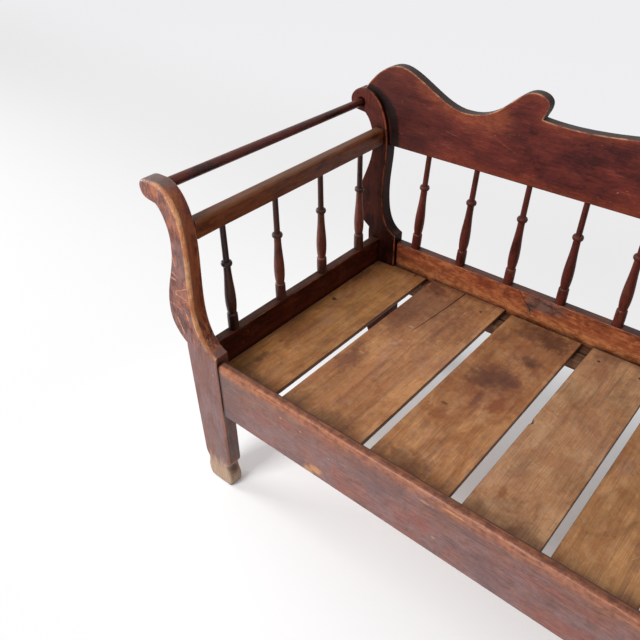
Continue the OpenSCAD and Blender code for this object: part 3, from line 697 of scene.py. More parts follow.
FRONT_POST_TINTS = ((84, 44, 36), (120, 68, 53), (144, 88, 64))
POST_INNER_TINTS = ((106, 44, 24), (168, 88, 48))
POST_INNER_EDGE = (160, 92, 56)
POST_GROOVE = (44, 20, 14)
POST_SCRAPED = (198, 128, 84)
POST_FACE_SHADE = (74, 30, 22)
POST_FACE_BROWN = (176, 100, 68)
POST_NECK = (172, 98, 64)
POST_HEAD_TINTS = ((96, 66, 58), (140, 92, 72))
POST_BARE_TINTS = ((176, 106, 66), (208, 154, 110))
SCROLL_SIDE = (104, 80, 72)
SCROLL_TOP = (112, 84, 70)
LEG_ARRIS = (164, 100, 70)
LEG_GREY = (112, 98, 88)
BELLY_SCRATCH = (214, 146, 106)
BACK_POST_TINTS = ((32, 12, 8), (64, 27, 19), (92, 43, 27))
BACK_POST_HEAD = (92, 44, 38)
BACK_POST_ARRIS = (146, 80, 52)


def post_arris(side, front):
    """Wear of a post: most at the foot and on the inner front arris above the seat, least at the back."""
    inward = -SIDES[side]

    def arris(middle, normals):
        in_front = min(n.y for n in normals) < -0.5
        inside = max(n.x * inward + 0.8 * n.z for n in normals) > 0.4
        flat = max(abs(n.y) for n in normals) > 0.5
        uneven = 0.6 + 0.8 * lumps(middle, 0.06)
        if not flat:
            return CORNER_RADIUS
        if not in_front:
            return REAR_RADIUS * uneven
        if middle.z < FOOT_TOP:
            return FOOT_RADIUS
        if middle.z <= KNEE:
            return LEG_RADIUS * uneven
        if not front:
            return BACK_POST_RADIUS
        return INNER_RADIUS if inside else OUTER_RADIUS
    return arris


# Scratches on the left front post: x and z at both ends, and the width.
BELLY_SCRATCHES = (
    (-0.869, 0.616, -0.852, 0.609, 0.0022), (-0.874, 0.6, -0.861, 0.599, 0.0026),
    (-0.866, 0.569, -0.866, 0.556, 0.002), (-0.866, 0.568, -0.825, 0.59, 0.0016),
    (-0.868, 0.562, -0.835, 0.556, 0.0024), (-0.894, 0.53, -0.856, 0.523, 0.0016),
    (-0.876, 0.494, -0.859, 0.456, 0.0028), (-0.842, 0.604, -0.827, 0.598, 0.0015),
    (-0.841, 0.516, -0.838, 0.502, 0.0024), (-0.859, 0.664, -0.854, 0.636, 0.0026),
    (-0.845, 0.548, -0.818, 0.558, 0.0018), (-0.884, 0.262, -0.872, 0.252, 0.001))


def rub_inner_side(s, sign, above, fine):
    """The side towards the seat, rubbed brown above the knee and scraped in runs just over it."""
    y, z = s.split(s.place())[1:3]
    inner = s.times(s.facing("X", -sign, 0.3, 0.75), above)
    near_front = s.level(s.ragged(y, fine, 0.02), POST_FACE + 0.03, POST_FACE + 0.008)
    brown = s.mix(s.level(fine, 0.4, 0.6), *POST_INNER_TINTS)
    s.paint(s.mix(near_front, brown, POST_INNER_EDGE), inner, 0.88)
    scraped = s.times(inner, s.level(z, KNEE + 0.12, KNEE + 0.03))
    grooves = s.drawn((0.1, 0, 0), "Z", 0.25, 150, 4, 0.65)
    s.paint(POST_GROOVE, scraped, s.level(grooves, 0.5, 0.42, 0.75))
    s.paint(POST_SCRAPED, scraped, s.level(grooves, 0.54, 0.6, 0.8))


def wear_upper_face(s, sign, above, dim, fine):
    """The mottled face above the knee, its worn neck and grey head, the bare inner arris, the scroll."""
    z = s.height()
    front = s.times(s.facing("Y", -1, 0.8, 0.97), above)
    s.paint(POST_FACE_SHADE, front, s.level(dim, 0.54, 0.44, 0.7))
    s.paint(POST_FACE_BROWN, front, s.level(fine, 0.5, 0.62, 0.55))
    neck = s.times(s.level(z, *NECK_BEGINS), s.level(z, *NECK_ENDS))
    s.paint(POST_NECK, front, neck, s.level(fine, 0.38, 0.58, 0.6))
    s.paint(s.mix(s.level(fine, 0.42, 0.58), *POST_HEAD_TINTS), front, s.level(z, *HEAD_BEGINS), 0.6)
    inner_arris = s.times(s.on_arris("Y", 0.03, 0.2), s.facing("X", -sign, -0.05, 0.12))
    s.paint(s.mix(s.level(dim, 0.42, 0.6), *POST_BARE_TINTS),
            inner_arris, above, s.level(fine, 0.32, 0.46, 1.0, 0.6), 0.9)
    s.paint(SCROLL_SIDE, s.facing("X", sign, 0.1, 0.5), s.level(z, *SCROLL_SIDE_BEGINS), 0.85)
    s.paint(SCROLL_TOP, s.facing("Z", 1, 0.45, 0.85), s.level(z, *SCROLL_TOP_BEGINS),
            s.level(dim, 0.36, 0.6, 0.8, 0.35))


def wear_leg(s, sign, below, fine):
    """The straight leg under the knee: a rubbed inner arris, and grey that grows to the foot."""
    arris = s.times(s.on_arris("Y"), s.facing("X", -sign, 0.2, 0.4), s.facing("Y", -1, 0.35, 0.6))
    s.paint(LEG_ARRIS, arris, s.level(fine, 0.36, 0.5, 0.95, 0.3), below, 0.8)
    grey = s.drawn((0.5, 0, 0.1), "Z", 0.7, 36, 7, 0.74, 0.4)
    toward_foot = s.level(s.height(), 0.3, 0.1, 1.0, 0.25)
    s.paint(LEG_GREY, below, toward_foot, s.level(grey, 0.48, 0.62, 0.55))


def front_post_marks(side):
    """A rubbed upper post, scratches on the left belly, a worn leg, a bare foot and a grimy ankle."""
    sign = SIDES[side]

    def marks(s):
        z = s.height()
        above = s.level(z, KNEE - 0.03, KNEE + 0.05)
        dim = s.drawn((0, 0, 0.7), "Z", 0.6, 22, 6, 0.7, 0.3)
        fine = s.drawn((0.3, 0, 0), "Z", 0.4, 75, 5, 0.68)
        rub_inner_side(s, sign, above, fine)
        wear_upper_face(s, sign, above, dim, fine)
        wear_leg(s, sign, s.rest(above), fine)
        for *ends, width in BELLY_SCRATCHES if side == "left" else ():
            s.paint(BELLY_SCRATCH, s.scratch(POST_FACE, ends, width), 0.85)
        s.paint(FOOT_WOOD, s.level(s.ragged(z, fine, 0.09), 0.098, 0.046, 0.9))
        ankle = s.blot((sign * 0.775, POST_FACE + 0.02, 0.055), (0.02, 0.016, 0.022), 0.5, 60)
        s.paint(SLAT_DARK, ankle, 0.8)
    return marks


def back_post_marks(side):
    """A redder head, a rubbed line along the inner front arris and a bare foot."""
    sign = SIDES[side]

    def marks(s):
        z = s.height()
        cloud = s.noise(s.place((0, 0.4, 0)), 40, 5, 0.7)
        head = s.times(s.level(z, 0.7, 0.8), s.facing("Y", -1, 0.6, 0.9))
        s.paint(BACK_POST_HEAD, head, s.level(cloud, 0.35, 0.6, 0.95, 0.55))
        s.paint(BACK_POST_ARRIS, s.on_arris("Y", 0.1, 0.35), s.facing("Y", -1, 0.2, 0.5),
                s.facing("X", -sign, 0.1, 0.4), s.level(cloud, 0.4, 0.55, 0.9, 0.15))
        s.paint(FOOT_WOOD, s.level(s.ragged(z, cloud, 0.05), 0.06, 0.03, 0.7))
    return marks


for k, side in enumerate(SIDES):
    name = f"front_post_{side}"
    wood = stained_wood(name, "Z", "Y", 3.1 + k, FRONT_POST_TINTS, film=0.8, rub=0.45, spread=0.008,
                        top_dust=0.7, marks=front_post_marks(side))
    worn_board(name, wood, post_arris(side, True), waver=0.0007)
    name = f"back_post_{side}"
    wood = stained_wood(name, "Z", "Y", 5.3 + k, BACK_POST_TINTS, tone=0.35, rub=0.4, spread=0.005,
                        shine=0.05, marks=back_post_marks(side))
    worn_board(name, wood, post_arris(side, False))

# ---------- Rails ----------

FRONT_RAIL_TINTS = ((96, 52, 44), (140, 84, 68), (164, 104, 78))
RAIL_HANDLED = (130, 82, 60)
RAIL_SHADE = (84, 44, 36)
RAIL_PALE = (172, 118, 98)
RAIL_GREY = (122, 98, 94)
RAIL_RED = (138, 70, 56)
RAIL_MAUVE = (98, 74, 76)
RAIL_BY_POST = (78, 58, 56)
RAIL_SPECK = (208, 164, 138)
RAIL_TOP_TINTS = ((92, 46, 27), (140, 84, 52))
RAIL_INNER_LINE = (62, 26, 16)
RAIL_BAND_TINTS = ((134, 75, 50), (174, 109, 72))
RAIL_KNOCK = (190, 134, 88)

# Knocks on the front rail's face: place x and z, radius x and z.
RAIL_KNOCKS = (
    (-0.476, 0.283, 0.022, 0.013), (-0.497, 0.27, 0.016, 0.012), (-0.571, 0.374, 0.004, 0.003),
    (-0.515, 0.37, 0.005, 0.003), (-0.44, 0.341, 0.004, 0.003), (-0.188, 0.309, 0.006, 0.003),
    (-0.213, 0.389, 0.02, 0.003), (-0.153, 0.404, 0.03, 0.003))


def wear_rail_face(s, front, dim, fine, toward_end):
    """Brown from handling near the top, greyed and reddened in patches, dark by the posts, specks."""
    x, _, z = s.split(s.place())[:3]
    handled = s.times(s.level(z, RAIL_TOP - 0.14, RAIL_TOP - 0.01),
                      s.level(toward_end, 0.0, 1.0, 1.0, 0.55))
    s.paint(RAIL_HANDLED, front, s.level(s.ragged(handled, dim, 1.8), 0.2, 0.9, 0.75))
    s.paint(RAIL_SHADE, front, s.level(fine, 0.5, 0.38, 0.32))
    s.paint(RAIL_PALE, front, s.level(fine, 0.54, 0.64, 0.22))
    grey = s.drawn((0.2, 0, 0.4), "X", 0.7, 34, 7, 0.74, 0.4)
    s.paint(RAIL_GREY, front, s.level(grey, 0.44, 0.58, 0.55, 0.1),
            s.level(toward_end, 0.25, 1.0, 1.0, 0.5))
    area = s.drawn((0.9, 0, 0.2), "X", 0.5, 10, 6, 0.68, 0.6)
    s.paint(RAIL_RED, front, s.level(area, 0.5, 0.6, 0.5))
    s.paint(RAIL_MAUVE, front, s.level(area, 0.48, 0.38, 0.42))
    by_post = s.level(s.math("ABSOLUTE", x), RAIL_END - 0.11, RAIL_END - 0.015, 0.42)
    s.paint(RAIL_BY_POST, front, by_post)
    specks = s.level(s.noise(s.place((0.7, 0, 0)), 330, 3, 0.6), 0.665, 0.71)
    s.paint(RAIL_SPECK, front, specks, s.level(grey, 0.5, 0.6, 1.0, 0.15), 0.65)


def wear_rail_top(s, dim, fine, toward_end):
    """A brown top with a dark line along its back, and a broad rubbed band along its front."""
    _, y, z = s.split(s.place())[:3]
    s.paint(s.mix(s.level(fine, 0.38, 0.62), *RAIL_TOP_TINTS), s.facing("Z", 1, 0.75, 0.97), 0.9)
    inner_line = s.level(s.ragged(y, fine, 0.008), RAIL_BACK - 0.007, RAIL_BACK - 0.002)
    s.paint(RAIL_INNER_LINE, s.level(z, RAIL_TOP - 0.008, RAIL_TOP - 0.004), inner_line, 0.9)
    band = s.times(s.level(s.ragged(z, dim, 0.02), RAIL_TOP - 0.034, RAIL_TOP - 0.01),
                   s.level(y, POST_FACE + 0.012, POST_FACE + 0.003))
    s.paint(s.mix(s.level(fine, 0.36, 0.6), *RAIL_BAND_TINTS),
            band, s.level(toward_end, 0.0, 1.0, 0.95, 0.55))


def front_rail_marks(s):
    """Handling marks and lost stain on the face, a rubbed top, grimy joints at the ends and knocks."""
    x = s.split(s.place())[0]
    front = s.facing("Y", -1, 0.75, 0.95)
    dim = s.drawn((0, 0, 0.7), "X", 0.6, 20, 6, 0.7, 0.3)
    fine = s.drawn((0.5, 0, 0), "X", 0.85, 80, 6, 0.72)
    toward_end = s.level(x, -0.3, -0.7, 1.0, 0.25)
    wear_rail_face(s, front, dim, fine, toward_end)
    wear_rail_top(s, dim, fine, toward_end)
    s.paint(GRIME_AND_SHADE, s.level(s.math("ABSOLUTE", x), RAIL_END - 0.008, RAIL_END - 0.001), 0.75)
    for px, pz, rx, rz in RAIL_KNOCKS:
        s.paint(RAIL_KNOCK, s.blot((px, POST_FACE, pz), (rx, None, rz), 0.8, 90), front, 0.85)


BACK_RAIL_TINTS = ((72, 30, 22), (134, 66, 42), (168, 96, 60))
BACK_RAIL_ORANGE = (186, 110, 68)
BACK_RAIL_STAIN = (100, 42, 27)
BACK_RAIL_STRIP_TINTS = ((138, 74, 42), (182, 118, 76))
BACK_RAIL_TOP = (52, 28, 23)
PATCH_TINTS = ((62, 44, 42), (112, 92, 86))
PATCH_RUST = (150, 74, 50)
# The crack runs down from the rail's top through these points, as x and z.
RAIL_CRACK = ((-0.386, 0.4165), (-0.369, 0.395), (-0.352, 0.378), (-0.345, 0.356))


def back_rail_marks(s):
    """Dark old stain along the top, a bare strip above the slats, and a lost patch beside a crack."""
    z = s.height()
    worn = s.drawn((0.9, 0, 0), "X", 0.45, 30, 6, 0.7, 0.3)
    fine = s.drawn((0.1, 0, 0), "X", 0.6, 90, 5, 0.7)
    front = s.facing("Y", -1, 0.75, 0.95)
    s.paint(BACK_RAIL_ORANGE, front, s.level(worn, 0.4, 0.58, 0.9, 0.1))
    upper = s.level(s.ragged(z, worn, 0.08), SLAT_TOP + 0.012, SLAT_TOP + 0.038)
    s.paint(BACK_RAIL_STAIN, front, upper, s.level(fine, 0.58, 0.44, 0.62, 0.15))
    strip = s.level(s.ragged(z, worn, 0.06), SLAT_TOP + 0.034, SLAT_TOP + 0.01, 0.75)
    s.paint(s.mix(s.level(fine, 0.4, 0.6), *BACK_RAIL_STRIP_TINTS), front, strip)
    s.paint(BACK_RAIL_TOP, s.facing("Z", 1, 0.75, 0.97), s.level(worn, 0.36, 0.6, 0.5, 0.9))
    patch = s.most(s.blot((-0.31, BACK_FACE, 0.4), (0.06, None, 0.028), 0.45, 34),
                   s.blot((-0.346, BACK_FACE, 0.394), (0.024, None, 0.036), 0.4, 34))
    lost = s.mix(s.level(worn, 0.4, 0.6), *PATCH_TINTS)
    s.paint(s.mix(s.level(fine, 0.54, 0.66, 0.8), lost, PATCH_RUST), patch, front, 0.85)
    for start, end in zip(RAIL_CRACK, RAIL_CRACK[1:]):
        s.paint(GRIME_AND_SHADE, s.scratch(BACK_FACE, start + end, 0.0022))


SIDE_RAIL_TINTS = ((30, 11, 7), (76, 31, 19), (112, 54, 31))
SIDE_RAIL_SMEAR = (112, 62, 42)
SIDE_RAIL_STRIP = (120, 52, 32)
ARM_RAIL_TINTS = ((50, 20, 12), (104, 52, 28), (146, 82, 42))
ARM_RAIL_SIDE = (142, 80, 48)
ARM_RAIL_TOP = (124, 77, 47)


def side_rail_marks(s):
    """Dusty brown smears, and a redder strip above the slats."""
    smear = s.drawn((0.4, 0, 0), "Y", 0.4, 28, 6, 0.7, 0.4)
    s.paint(SIDE_RAIL_SMEAR, s.level(smear, 0.5, 0.64, 0.55))
    low = s.ragged(s.height(), smear, 0.05)
    s.paint(SIDE_RAIL_STRIP, s.level(low, SLAT_TOP + 0.03, SLAT_TOP + 0.008, 0.5))


def arm_rail_marks(s):
    """Brown rubbed runs on the broad faces and along the top."""
    worn = s.drawn((0.4, 0, 0), "Y", 0.25, 60, 5, 0.66)
    s.paint(ARM_RAIL_SIDE, s.broad("X"), s.level(worn, 0.36, 0.6, 0.85, 0.15))
    s.paint(ARM_RAIL_TOP, s.facing("Z", 1, 0.1, 0.75), s.level(worn, 0.36, 0.6, 0.9, 0.35))


wood = stained_wood("front_rail", "X", "Y", 47.1, FRONT_RAIL_TINTS, film=0.85, rub=0.35, spread=0.006,
                    top_dust=0.1, marks=front_rail_marks)
worn_board("front_rail", wood, outer_edges("front_rail", "X", (0.004, 0.003)), "X", 0.0008, rolled=0.01)
wood = stained_wood("back_seat_rail", "X", "Y", 43.9, BACK_RAIL_TINTS, tone=0.55, spread=0.006,
                    top_dust=0.35, shine=0.15, marks=back_rail_marks)
worn_board("back_seat_rail", wood, outer_edges("back_seat_rail", "X", (0.003, 0.002)), "X")

for k, side in enumerate(SIDES):
    name = f"side_rail_{side}"
    wood = stained_wood(name, "Y", "X", 7.7 + k, SIDE_RAIL_TINTS, rub=0.55, spread=0.008, shine=0.06,
                        marks=side_rail_marks)
    worn_board(name, wood, outer_edges(name, "Y", (0.0035, 0.002)), "Y")
    name = f"arm_rail_{side}"
    wood = stained_wood(name, "Y", "X", 9.1 + k, ARM_RAIL_TINTS, spread=0.007, top_dust=0.3, gloss=0.36,
                        shine=0.2, marks=arm_rail_marks)
    worn_board(name, wood, outer_edges(name, "Y", (0.004, 0.002)), "Y")

# ---------- Crest, spindles and rods ----------

CREST_TINTS = ((54, 19, 19), (96, 38, 31), (120, 52, 36))
CREST_SAWN = (30, 20, 16)
CREST_CLOUD = (66, 26, 26)
CREST_DARK_RUN = (58, 22, 24)
CREST_PALE_RUN = (146, 76, 62)
CREST_NEAR_EDGE = (140, 64, 40)
CREST_DIP = (158, 82, 52)
# The colour of the posts' painted shadow on the crest.
CREST_POST_SHADOW = (44, 15, 12)
CREST_SCRATCH = (186, 112, 72)
# A painted highlight for the crest's front top arris, over rubbed wood.
CREST_ARRIS_HIGHLIGHT = (190, 138, 104)

# Lines on the left half of the crest's front, as x and z: the post's edge, beside which its shadow is
# painted, and along the dip.
POST_SHADOW_LINE = (
    (-0.8755, 0.8285), (-0.8471, 0.8203), (-0.8223, 0.8056), (-0.8039, 0.7869), (-0.7939, 0.7634),
    (-0.7888, 0.7358), (-0.7865, 0.6977))
ALONG_THE_DIP = (
    (-0.709, 0.868), (-0.665, 0.846), (-0.622, 0.826), (-0.58, 0.814), (-0.54, 0.811), (-0.5, 0.826))
# Scratches on the crest's front: x and z at both ends.
CREST_SCRATCHES = (
    (-0.575, 0.826, -0.54, 0.816), (-0.5, 0.78, -0.455, 0.762), (-0.48, 0.8, -0.452, 0.806),
    (-0.771, 0.818, -0.771, 0.81), (-0.64, 0.77, -0.6, 0.764))


def crest_arris(middle, normals):
    """The crest is rubbed most along its front edges."""
    if max(abs(n.y) for n in normals) < 0.5:
        return 0.0006
    front = min(n.y for n in normals) < -0.5
    return (0.003 if front else 0.0012) * (0.6 + 0.8 * lumps(middle, 0.06))


def crest_marks(s):
    """Painted shadow beside the posts, rubbed bands along the dips and edges, a painted arris highlight,
    fine scratches.
    """
    front = s.facing("Y", -1, 0.75, 0.95)
    cloud = s.noise(s.place((0.2, 0, 0)), 15, 6, 0.68)
    small = s.drawn((0.6, 0, 0), "X", 0.6, 46, 5, 0.68)
    s.paint(CREST_CLOUD, front, s.level(cloud, 0.5, 0.38, 0.34))
    runs = s.drawn((0.8, 0, 0), "X", 0.25, 40, 6, 0.72, 0.3)
    s.paint(CREST_DARK_RUN, front, s.level(runs, 0.5, 0.4, 0.4))
    s.paint(CREST_PALE_RUN, front, s.level(runs, 0.54, 0.66, 0.35))
    near_edge = s.ragged(s.near_arris(0.05), cloud, 2.2)
    s.paint(CREST_NEAR_EDGE, front, s.level(near_edge, 0.45, 1.05, 0.5))
    for sign in (1, -1):
        dip = s.from_line(*((sign * x, BACK_FACE, z) for x, z in ALONG_THE_DIP))
        s.paint(CREST_DIP, front, s.level(s.ragged(dip, cloud, 0.05), 0.042, 0.006),
                s.level(small, 0.36, 0.6, 1.0, 0.35), 0.5)
        # The post's shadow on the crest, painted: broad and soft, and near black close to the post's edge.
        post = s.from_line(*((sign * x, BACK_FACE, z) for x, z in POST_SHADOW_LINE))
        s.paint(CREST_POST_SHADOW, front, s.level(s.ragged(post, cloud, 0.05), 0.18, 0.04, 0.52))
        s.paint(GRIME_AND_SHADE, front, s.level(post, 0.018, 0.008, 0.92))
    for ends in CREST_SCRATCHES:
        s.paint(CREST_SCRATCH, s.scratch(BACK_FACE, ends, 0.0012), 0.4)
    # A painted highlight along the rubbed front top arris, kept off the low edge.
    edge = s.most(s.times(s.on_arris("Y", 0.05, 0.25), s.facing("Y", -1, 0.1, 0.3)),
                  s.times(front, s.near_arris(0.007)))
    above_low_edge = s.level(s.height(), CREST_LOW + 0.03, CREST_LOW + 0.06)
    s.paint(CREST_ARRIS_HIGHLIGHT, edge, above_low_edge, s.level(s.ragged(small, cloud, 1.0), 0.38, 0.62, 0.72, 0.12))


SPINDLE_FOOT = RAIL_TOP + 0.045
SPINDLE_RING = RAIL_TOP + 0.17
ROD_TINTS = ((44, 16, 11), (98, 38, 26), (112, 60, 38))
DARK_SPINDLE_TINTS = ((36, 17, 14), (76, 40, 31), (104, 62, 46))
BROWN_SPINDLE_TINTS = ((54, 24, 18), (116, 58, 43), (150, 88, 64))
BACK_SPINDLE_TINTS = ((38, 14, 10), (86, 34, 25), (102, 54, 36))
SPINDLE_DARK_BANDS = (40, 20, 16)
ARM_SPINDLES = 4
BACK_SPINDLES = 11


def arm_spindle_marks(s):
    """Darker on the foot, the ring and the thin stem."""
    height = s.ragged(s.height(), s.noise(s.place((0, 0, 0.6)), 60, 5, 0.7), 0.08)
    dark = s.most(s.level(height, SPINDLE_RING - 0.015, SPINDLE_RING + 0.01),
                  s.level(height, SPINDLE_FOOT + 0.015, SPINDLE_FOOT - 0.01))
    s.paint(SPINDLE_DARK_BANDS, dark, 0.65)


wood = stained_wood("crest_rail", "X", "Y", 41.3, CREST_TINTS, spread=0.004, top_dust=0.3, gloss=0.46,
                    shine=0.15, sawn=CREST_SAWN, marks=crest_marks)
worn_board("crest_rail", wood, crest_arris)

for k, side in enumerate(SIDES):
    name = f"scroll_rod_{side}"
    wood = stained_wood(name, "Y", "X", 11.3 + k, ROD_TINTS, rub=0.0, top_dust=0.2, gloss=0.34)
    dress(name, wood, 0.0005)
    for i in range(1, ARM_SPINDLES + 1):
        name = f"arm_spindle_{side}_{i}"
        tints = DARK_SPINDLE_TINTS if i == 1 else BROWN_SPINDLE_TINTS
        wood = stained_wood(name, "Z", "Y", 13.7 + ARM_SPINDLES * k + i, tints, rub=0.0, gloss=0.34,
                            shine=0.35, marks=arm_spindle_marks)
        dress(name, wood, 0.0006)
for i in range(1, BACK_SPINDLES + 1):
    name = f"back_spindle_{i}"
    wood = stained_wood(name, "Z", "Y", 23.9 + i, BACK_SPINDLE_TINTS, rub=0.0, gloss=0.42, shine=0.2)
    dress(name, wood, 0.0006)

# ---------- Slats ----------

SLATS = [f"{kind}_slat_{n}" for n in range(1, 6) for kind in ("fixed", "sliding")][:9]
# The light and the brown tint of each slat, from the left.
SLAT_TINTS = (
    ((200, 140, 78), (170, 110, 60)), ((200, 142, 92), (176, 118, 74)), ((198, 142, 92), (166, 108, 62)),
    ((192, 147, 106), (170, 119, 81)), ((186, 134, 84), (154, 102, 60)), ((192, 142, 98), (162, 112, 70)),
    ((184, 132, 82), (152, 100, 58)), ((194, 146, 102), (166, 116, 74)), ((188, 134, 88), (156, 104, 62)))
# Stains by slat, and a painted shadow on the first: place x and y, radius x and y, colour and strength.
SLAT_STAINS_AND_SHADOW = {
    0: ((-0.786, 0.085, 0.009, 0.007, GRIME_AND_SHADE, 0.95), (-0.774, -0.139, 0.007, 0.01, SLAT_RUST, 0.7),
        (-0.768, -0.216, 0.012, 0.03, SLAT_DARK, 0.6), (-0.803, 0.228, 0.014, 0.05, SLAT_DARK, 0.5),
        (-0.705, 0.078, 0.01, 0.08, SLAT_RUST, 0.45), (-0.74, -0.3, 0.09, 0.04, SLAT_DARK, 0.5),
        # This long dark blot along the first slat's left edge is the side rail's shadow, painted.
        (-0.838, -0.05, 0.018, 0.24, SLAT_DARK, 0.45)),
    1: ((-0.56, 0.17, 0.17, 0.17, SLAT_VIOLET, 0.32), (-0.59, 0.23, 0.12, 0.11, SLAT_VIOLET, 0.45),
        (-0.6, 0.29, 0.045, 0.035, SLAT_VIOLET, 0.7),
        (-0.605, 0.13, 0.04, 0.09, SLAT_VIOLET, 0.4), (-0.648, 0.19, 0.03, 0.12, SLAT_RUST, 0.4),
        (-0.6, -0.08, 0.03, 0.08, SLAT_VIOLET, 0.55), (-0.56, 0.112, 0.01, 0.006, SLAT_GREY, 0.7),
        (-0.553, 0.031, 0.01, 0.007, SLAT_GREY, 0.7), (-0.5, -0.265, 0.06, 0.03, SLAT_DARK, 0.45)),
    2: ((-0.3, 0.05, 0.11, 0.12, SLAT_RUST, 0.45), (-0.27, 0.23, 0.11, 0.1, SLAT_RUST, 0.5),
        (-0.3, 0.065, 0.075, 0.07, SLAT_VIOLET, 0.45), (-0.326, 0.055, 0.04, 0.042, SLAT_BURNT, 0.55),
        (-0.298, 0.075, 0.044, 0.046, SLAT_BURNT, 0.55), (-0.266, 0.078, 0.038, 0.028, SLAT_BURNT, 0.55),
        (-0.298, -0.02, 0.01, 0.04, SLAT_VIOLET, 0.6), (-0.252, -0.006, 0.022, 0.034, SLAT_RUST, 0.8),
        (-0.313, 0.27, 0.05, 0.03, SLAT_DARK, 0.6), (-0.25, 0.272, 0.05, 0.044, SLAT_BURNT, 0.7),
        (-0.262, 0.172, 0.04, 0.024, SLAT_BURNT, 0.6),
        (-0.336, -0.108, 0.026, 0.026, SLAT_RUST, 0.6), (-0.346, -0.071, 0.009, 0.005, SLAT_DARK, 0.8),
        (-0.29, 0.3, 0.045, 0.022, SLAT_DARK, 0.7), (-0.257, 0.168, 0.016, 0.012, SLAT_DARK, 0.75),
        (-0.258, 0.262, 0.02, 0.018, SLAT_DARK, 0.6), (-0.365, 0.217, 0.028, 0.03, SLAT_DARK, 0.35),
        (-0.36, 0.119, 0.024, 0.03, SLAT_RUST, 0.45), (-0.316, -0.262, 0.07, 0.035, SLAT_DARK, 0.5)),
    3: ((-0.128, -0.21, 0.012, 0.016, SLAT_RUST, 0.6), (-0.06, -0.27, 0.05, 0.03, SLAT_DARK, 0.45),
        (-0.174, -0.003, 0.006, 0.011, GRIME_AND_SHADE, 0.9))}
# How plainly each slat's saw marks show, and the splinter that the fourth has lost.
SLAT_SAW = (0.05, 0.06, 0.05, 0.1, 0.06, 0.08, 0.05, 0.08, 0.06)
SLAT_BITES = {3: (((-0.1775, -0.003, SLAT_TOP), 0.009, 0.003),)}

for k, name in enumerate(SLATS):
    wood = slat_wood(name, 2.3 + 3.1 * k, *SLAT_TINTS[k], SLAT_STAINS_AND_SHADOW.get(k, ()), SLAT_SAW[k])
    worn_board(name, wood, outer_edges(name, "Y", (0.0018, 0.0014), 0.0004), "Y", 0.0008,
               SLAT_BITES.get(k, ()))

# ---------- Hidden parts and iron ----------

HIDDEN_BOARDS = ("back_ledger", "front_stretcher", "front_cleat", "rear_batten", "prop_leg_left",
                 "prop_leg_right")
IRONWORK = ("fixed_slat_nails", "crest_nails", "ledger_nails", "sliding_slat_nails", "cleat_nails",
            "pivot_screw_left", "pivot_screw_right")

for k, name in enumerate(HIDDEN_BOARDS):
    worn_board(name, inner_wood(name, "X", 3.7 * k), outer_edges(name, "X", (0.0015, 0.0015), 0.0005), "X")

dark_iron = iron("old_iron")
for name in IRONWORK:
    dress(name, dark_iron, 0.0003)

# ---------- Floor, light and camera ----------


def seen_directly(s):
    """1 where a camera, mirror or glass ray looks, 0 for the light that reaches the object."""
    ray = s.node("LightPath").outputs
    return s.most(s.most(ray["Is Camera Ray"], ray["Is Glossy Ray"]), ray["Is Transmission Ray"])


FLOOR_SIZE = 16.0
FOOTPRINT = (BENCH_END, -POST_FACE, 0.0)
GLOW_REACH = (-0.1, 0.65)
GLOW_NEAR = 0.16
GLOW_FAR = 0.92
MID_FLOOR = (-0.3, 1.3)
FAR_FLOOR = (1.3, 2.6)


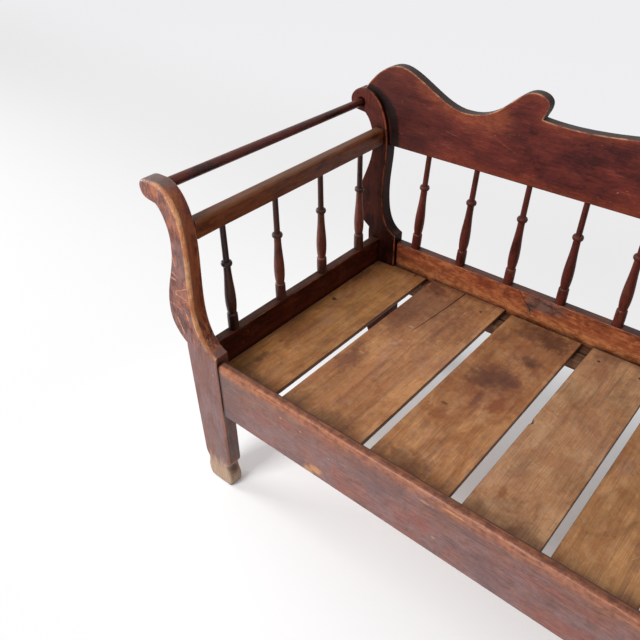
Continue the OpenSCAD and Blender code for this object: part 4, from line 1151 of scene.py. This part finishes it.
def floor():
    """A pale floor that shows the bench's shadow near it and plain backdrop further off."""
    mesh = bpy.data.meshes.new("floor")
    h = FLOOR_SIZE / 2
    mesh.from_pydata([(-h, -h, 0), (h, -h, 0), (h, h, 0), (-h, h, 0)], [], [(0, 1, 2, 3)])
    s = Shader("floor")
    outside = s.vector("SUBTRACT", s.vector("ABSOLUTE", s.place()), FOOTPRINT)
    outside = s.vector("MAXIMUM", outside, (0, 0, 0))
    far = s.level(s.number("LENGTH", outside), *GLOW_REACH)
    back = s.split(s.place())[1]
    shade = s.mix(s.level(back, *MID_FLOOR), FLOOR_NEAR, FLOOR_FAR)
    shade = s.mix(s.level(back, *FAR_FLOOR), shade, BACKDROP)
    s.blend("OutputMaterial",
            s.times(seen_directly(s), s.level(far, 0.0, 1.0, GLOW_FAR, GLOW_NEAR)),
            s.node("BsdfDiffuse", {"Color": FLOOR}),
            s.node("Emission", {"Color": shade, "Strength": 1.0}))
    mesh.materials.append(s.material)
    new_object("floor", mesh)


ROOM_DIM = 0.24
ROOM_BRIGHT = 0.54


def world():
    """A pale room that is brighter on the window's side."""
    made = bpy.data.worlds.new("room")
    made.use_nodes = True
    bpy.context.scene.world = made
    s = Shader("room", made.node_tree)
    x = s.split(s.node("TexCoord").outputs["Generated"])[0]
    strength = s.level(x, 1.0, -1.0, ROOM_BRIGHT, ROOM_DIM)
    s.blend("OutputWorld", seen_directly(s),
            s.node("Background", {"Color": WHITE, "Strength": strength}),
            s.node("Background", {"Color": BACKDROP, "Strength": 1.0}))


# Each lamp's name, place, target, size in metres and power in watts.
LAMPS = (
    ("window", (-4.5, -1.2, 1.65), (-0.3, 0.0, 0.45), 1.5, 110),
    ("front", (-1.3, -3.2, 3.1), (-0.3, 0.0, 0.3), 1.6, 145))


def lamp(name, place, target, size, power):
    """A square soft light that shines from place to target."""
    data = bpy.data.lights.new(name, "AREA")
    data.shape = "SQUARE"
    data.size = size
    data.energy = power
    made = new_object(name, data)
    made.location = place
    made.rotation_euler = (Vector(target) - Vector(place)).to_track_quat("-Z", "Y").to_euler()


def camera():
    """The camera, from its place, its direction, its roll and its lens."""
    data = bpy.data.cameras.new("camera")
    data.lens = CAMERA_LENS
    data.sensor_width = CAMERA_SENSOR
    made = new_object("camera", data)
    a, e, r = CAMERA_AZIMUTH, CAMERA_ELEVATION, CAMERA_ROLL
    level = Vector((math.cos(a), math.sin(a), 0))
    ahead = Vector((-math.sin(a) * math.cos(e), math.cos(a) * math.cos(e), -math.sin(e)))
    upright = level.cross(ahead)
    right = math.cos(r) * level + math.sin(r) * upright
    above = math.cos(r) * upright - math.sin(r) * level
    made.matrix_world = Matrix.LocRotScale(
        Vector(CAMERA_PLACE), Matrix((right, above, -ahead)).transposed(), None)
    bpy.context.scene.camera = made


floor()
world()
for row in LAMPS:
    lamp(*row)
camera()
bpy.context.scene.view_settings.view_transform = "Standard"
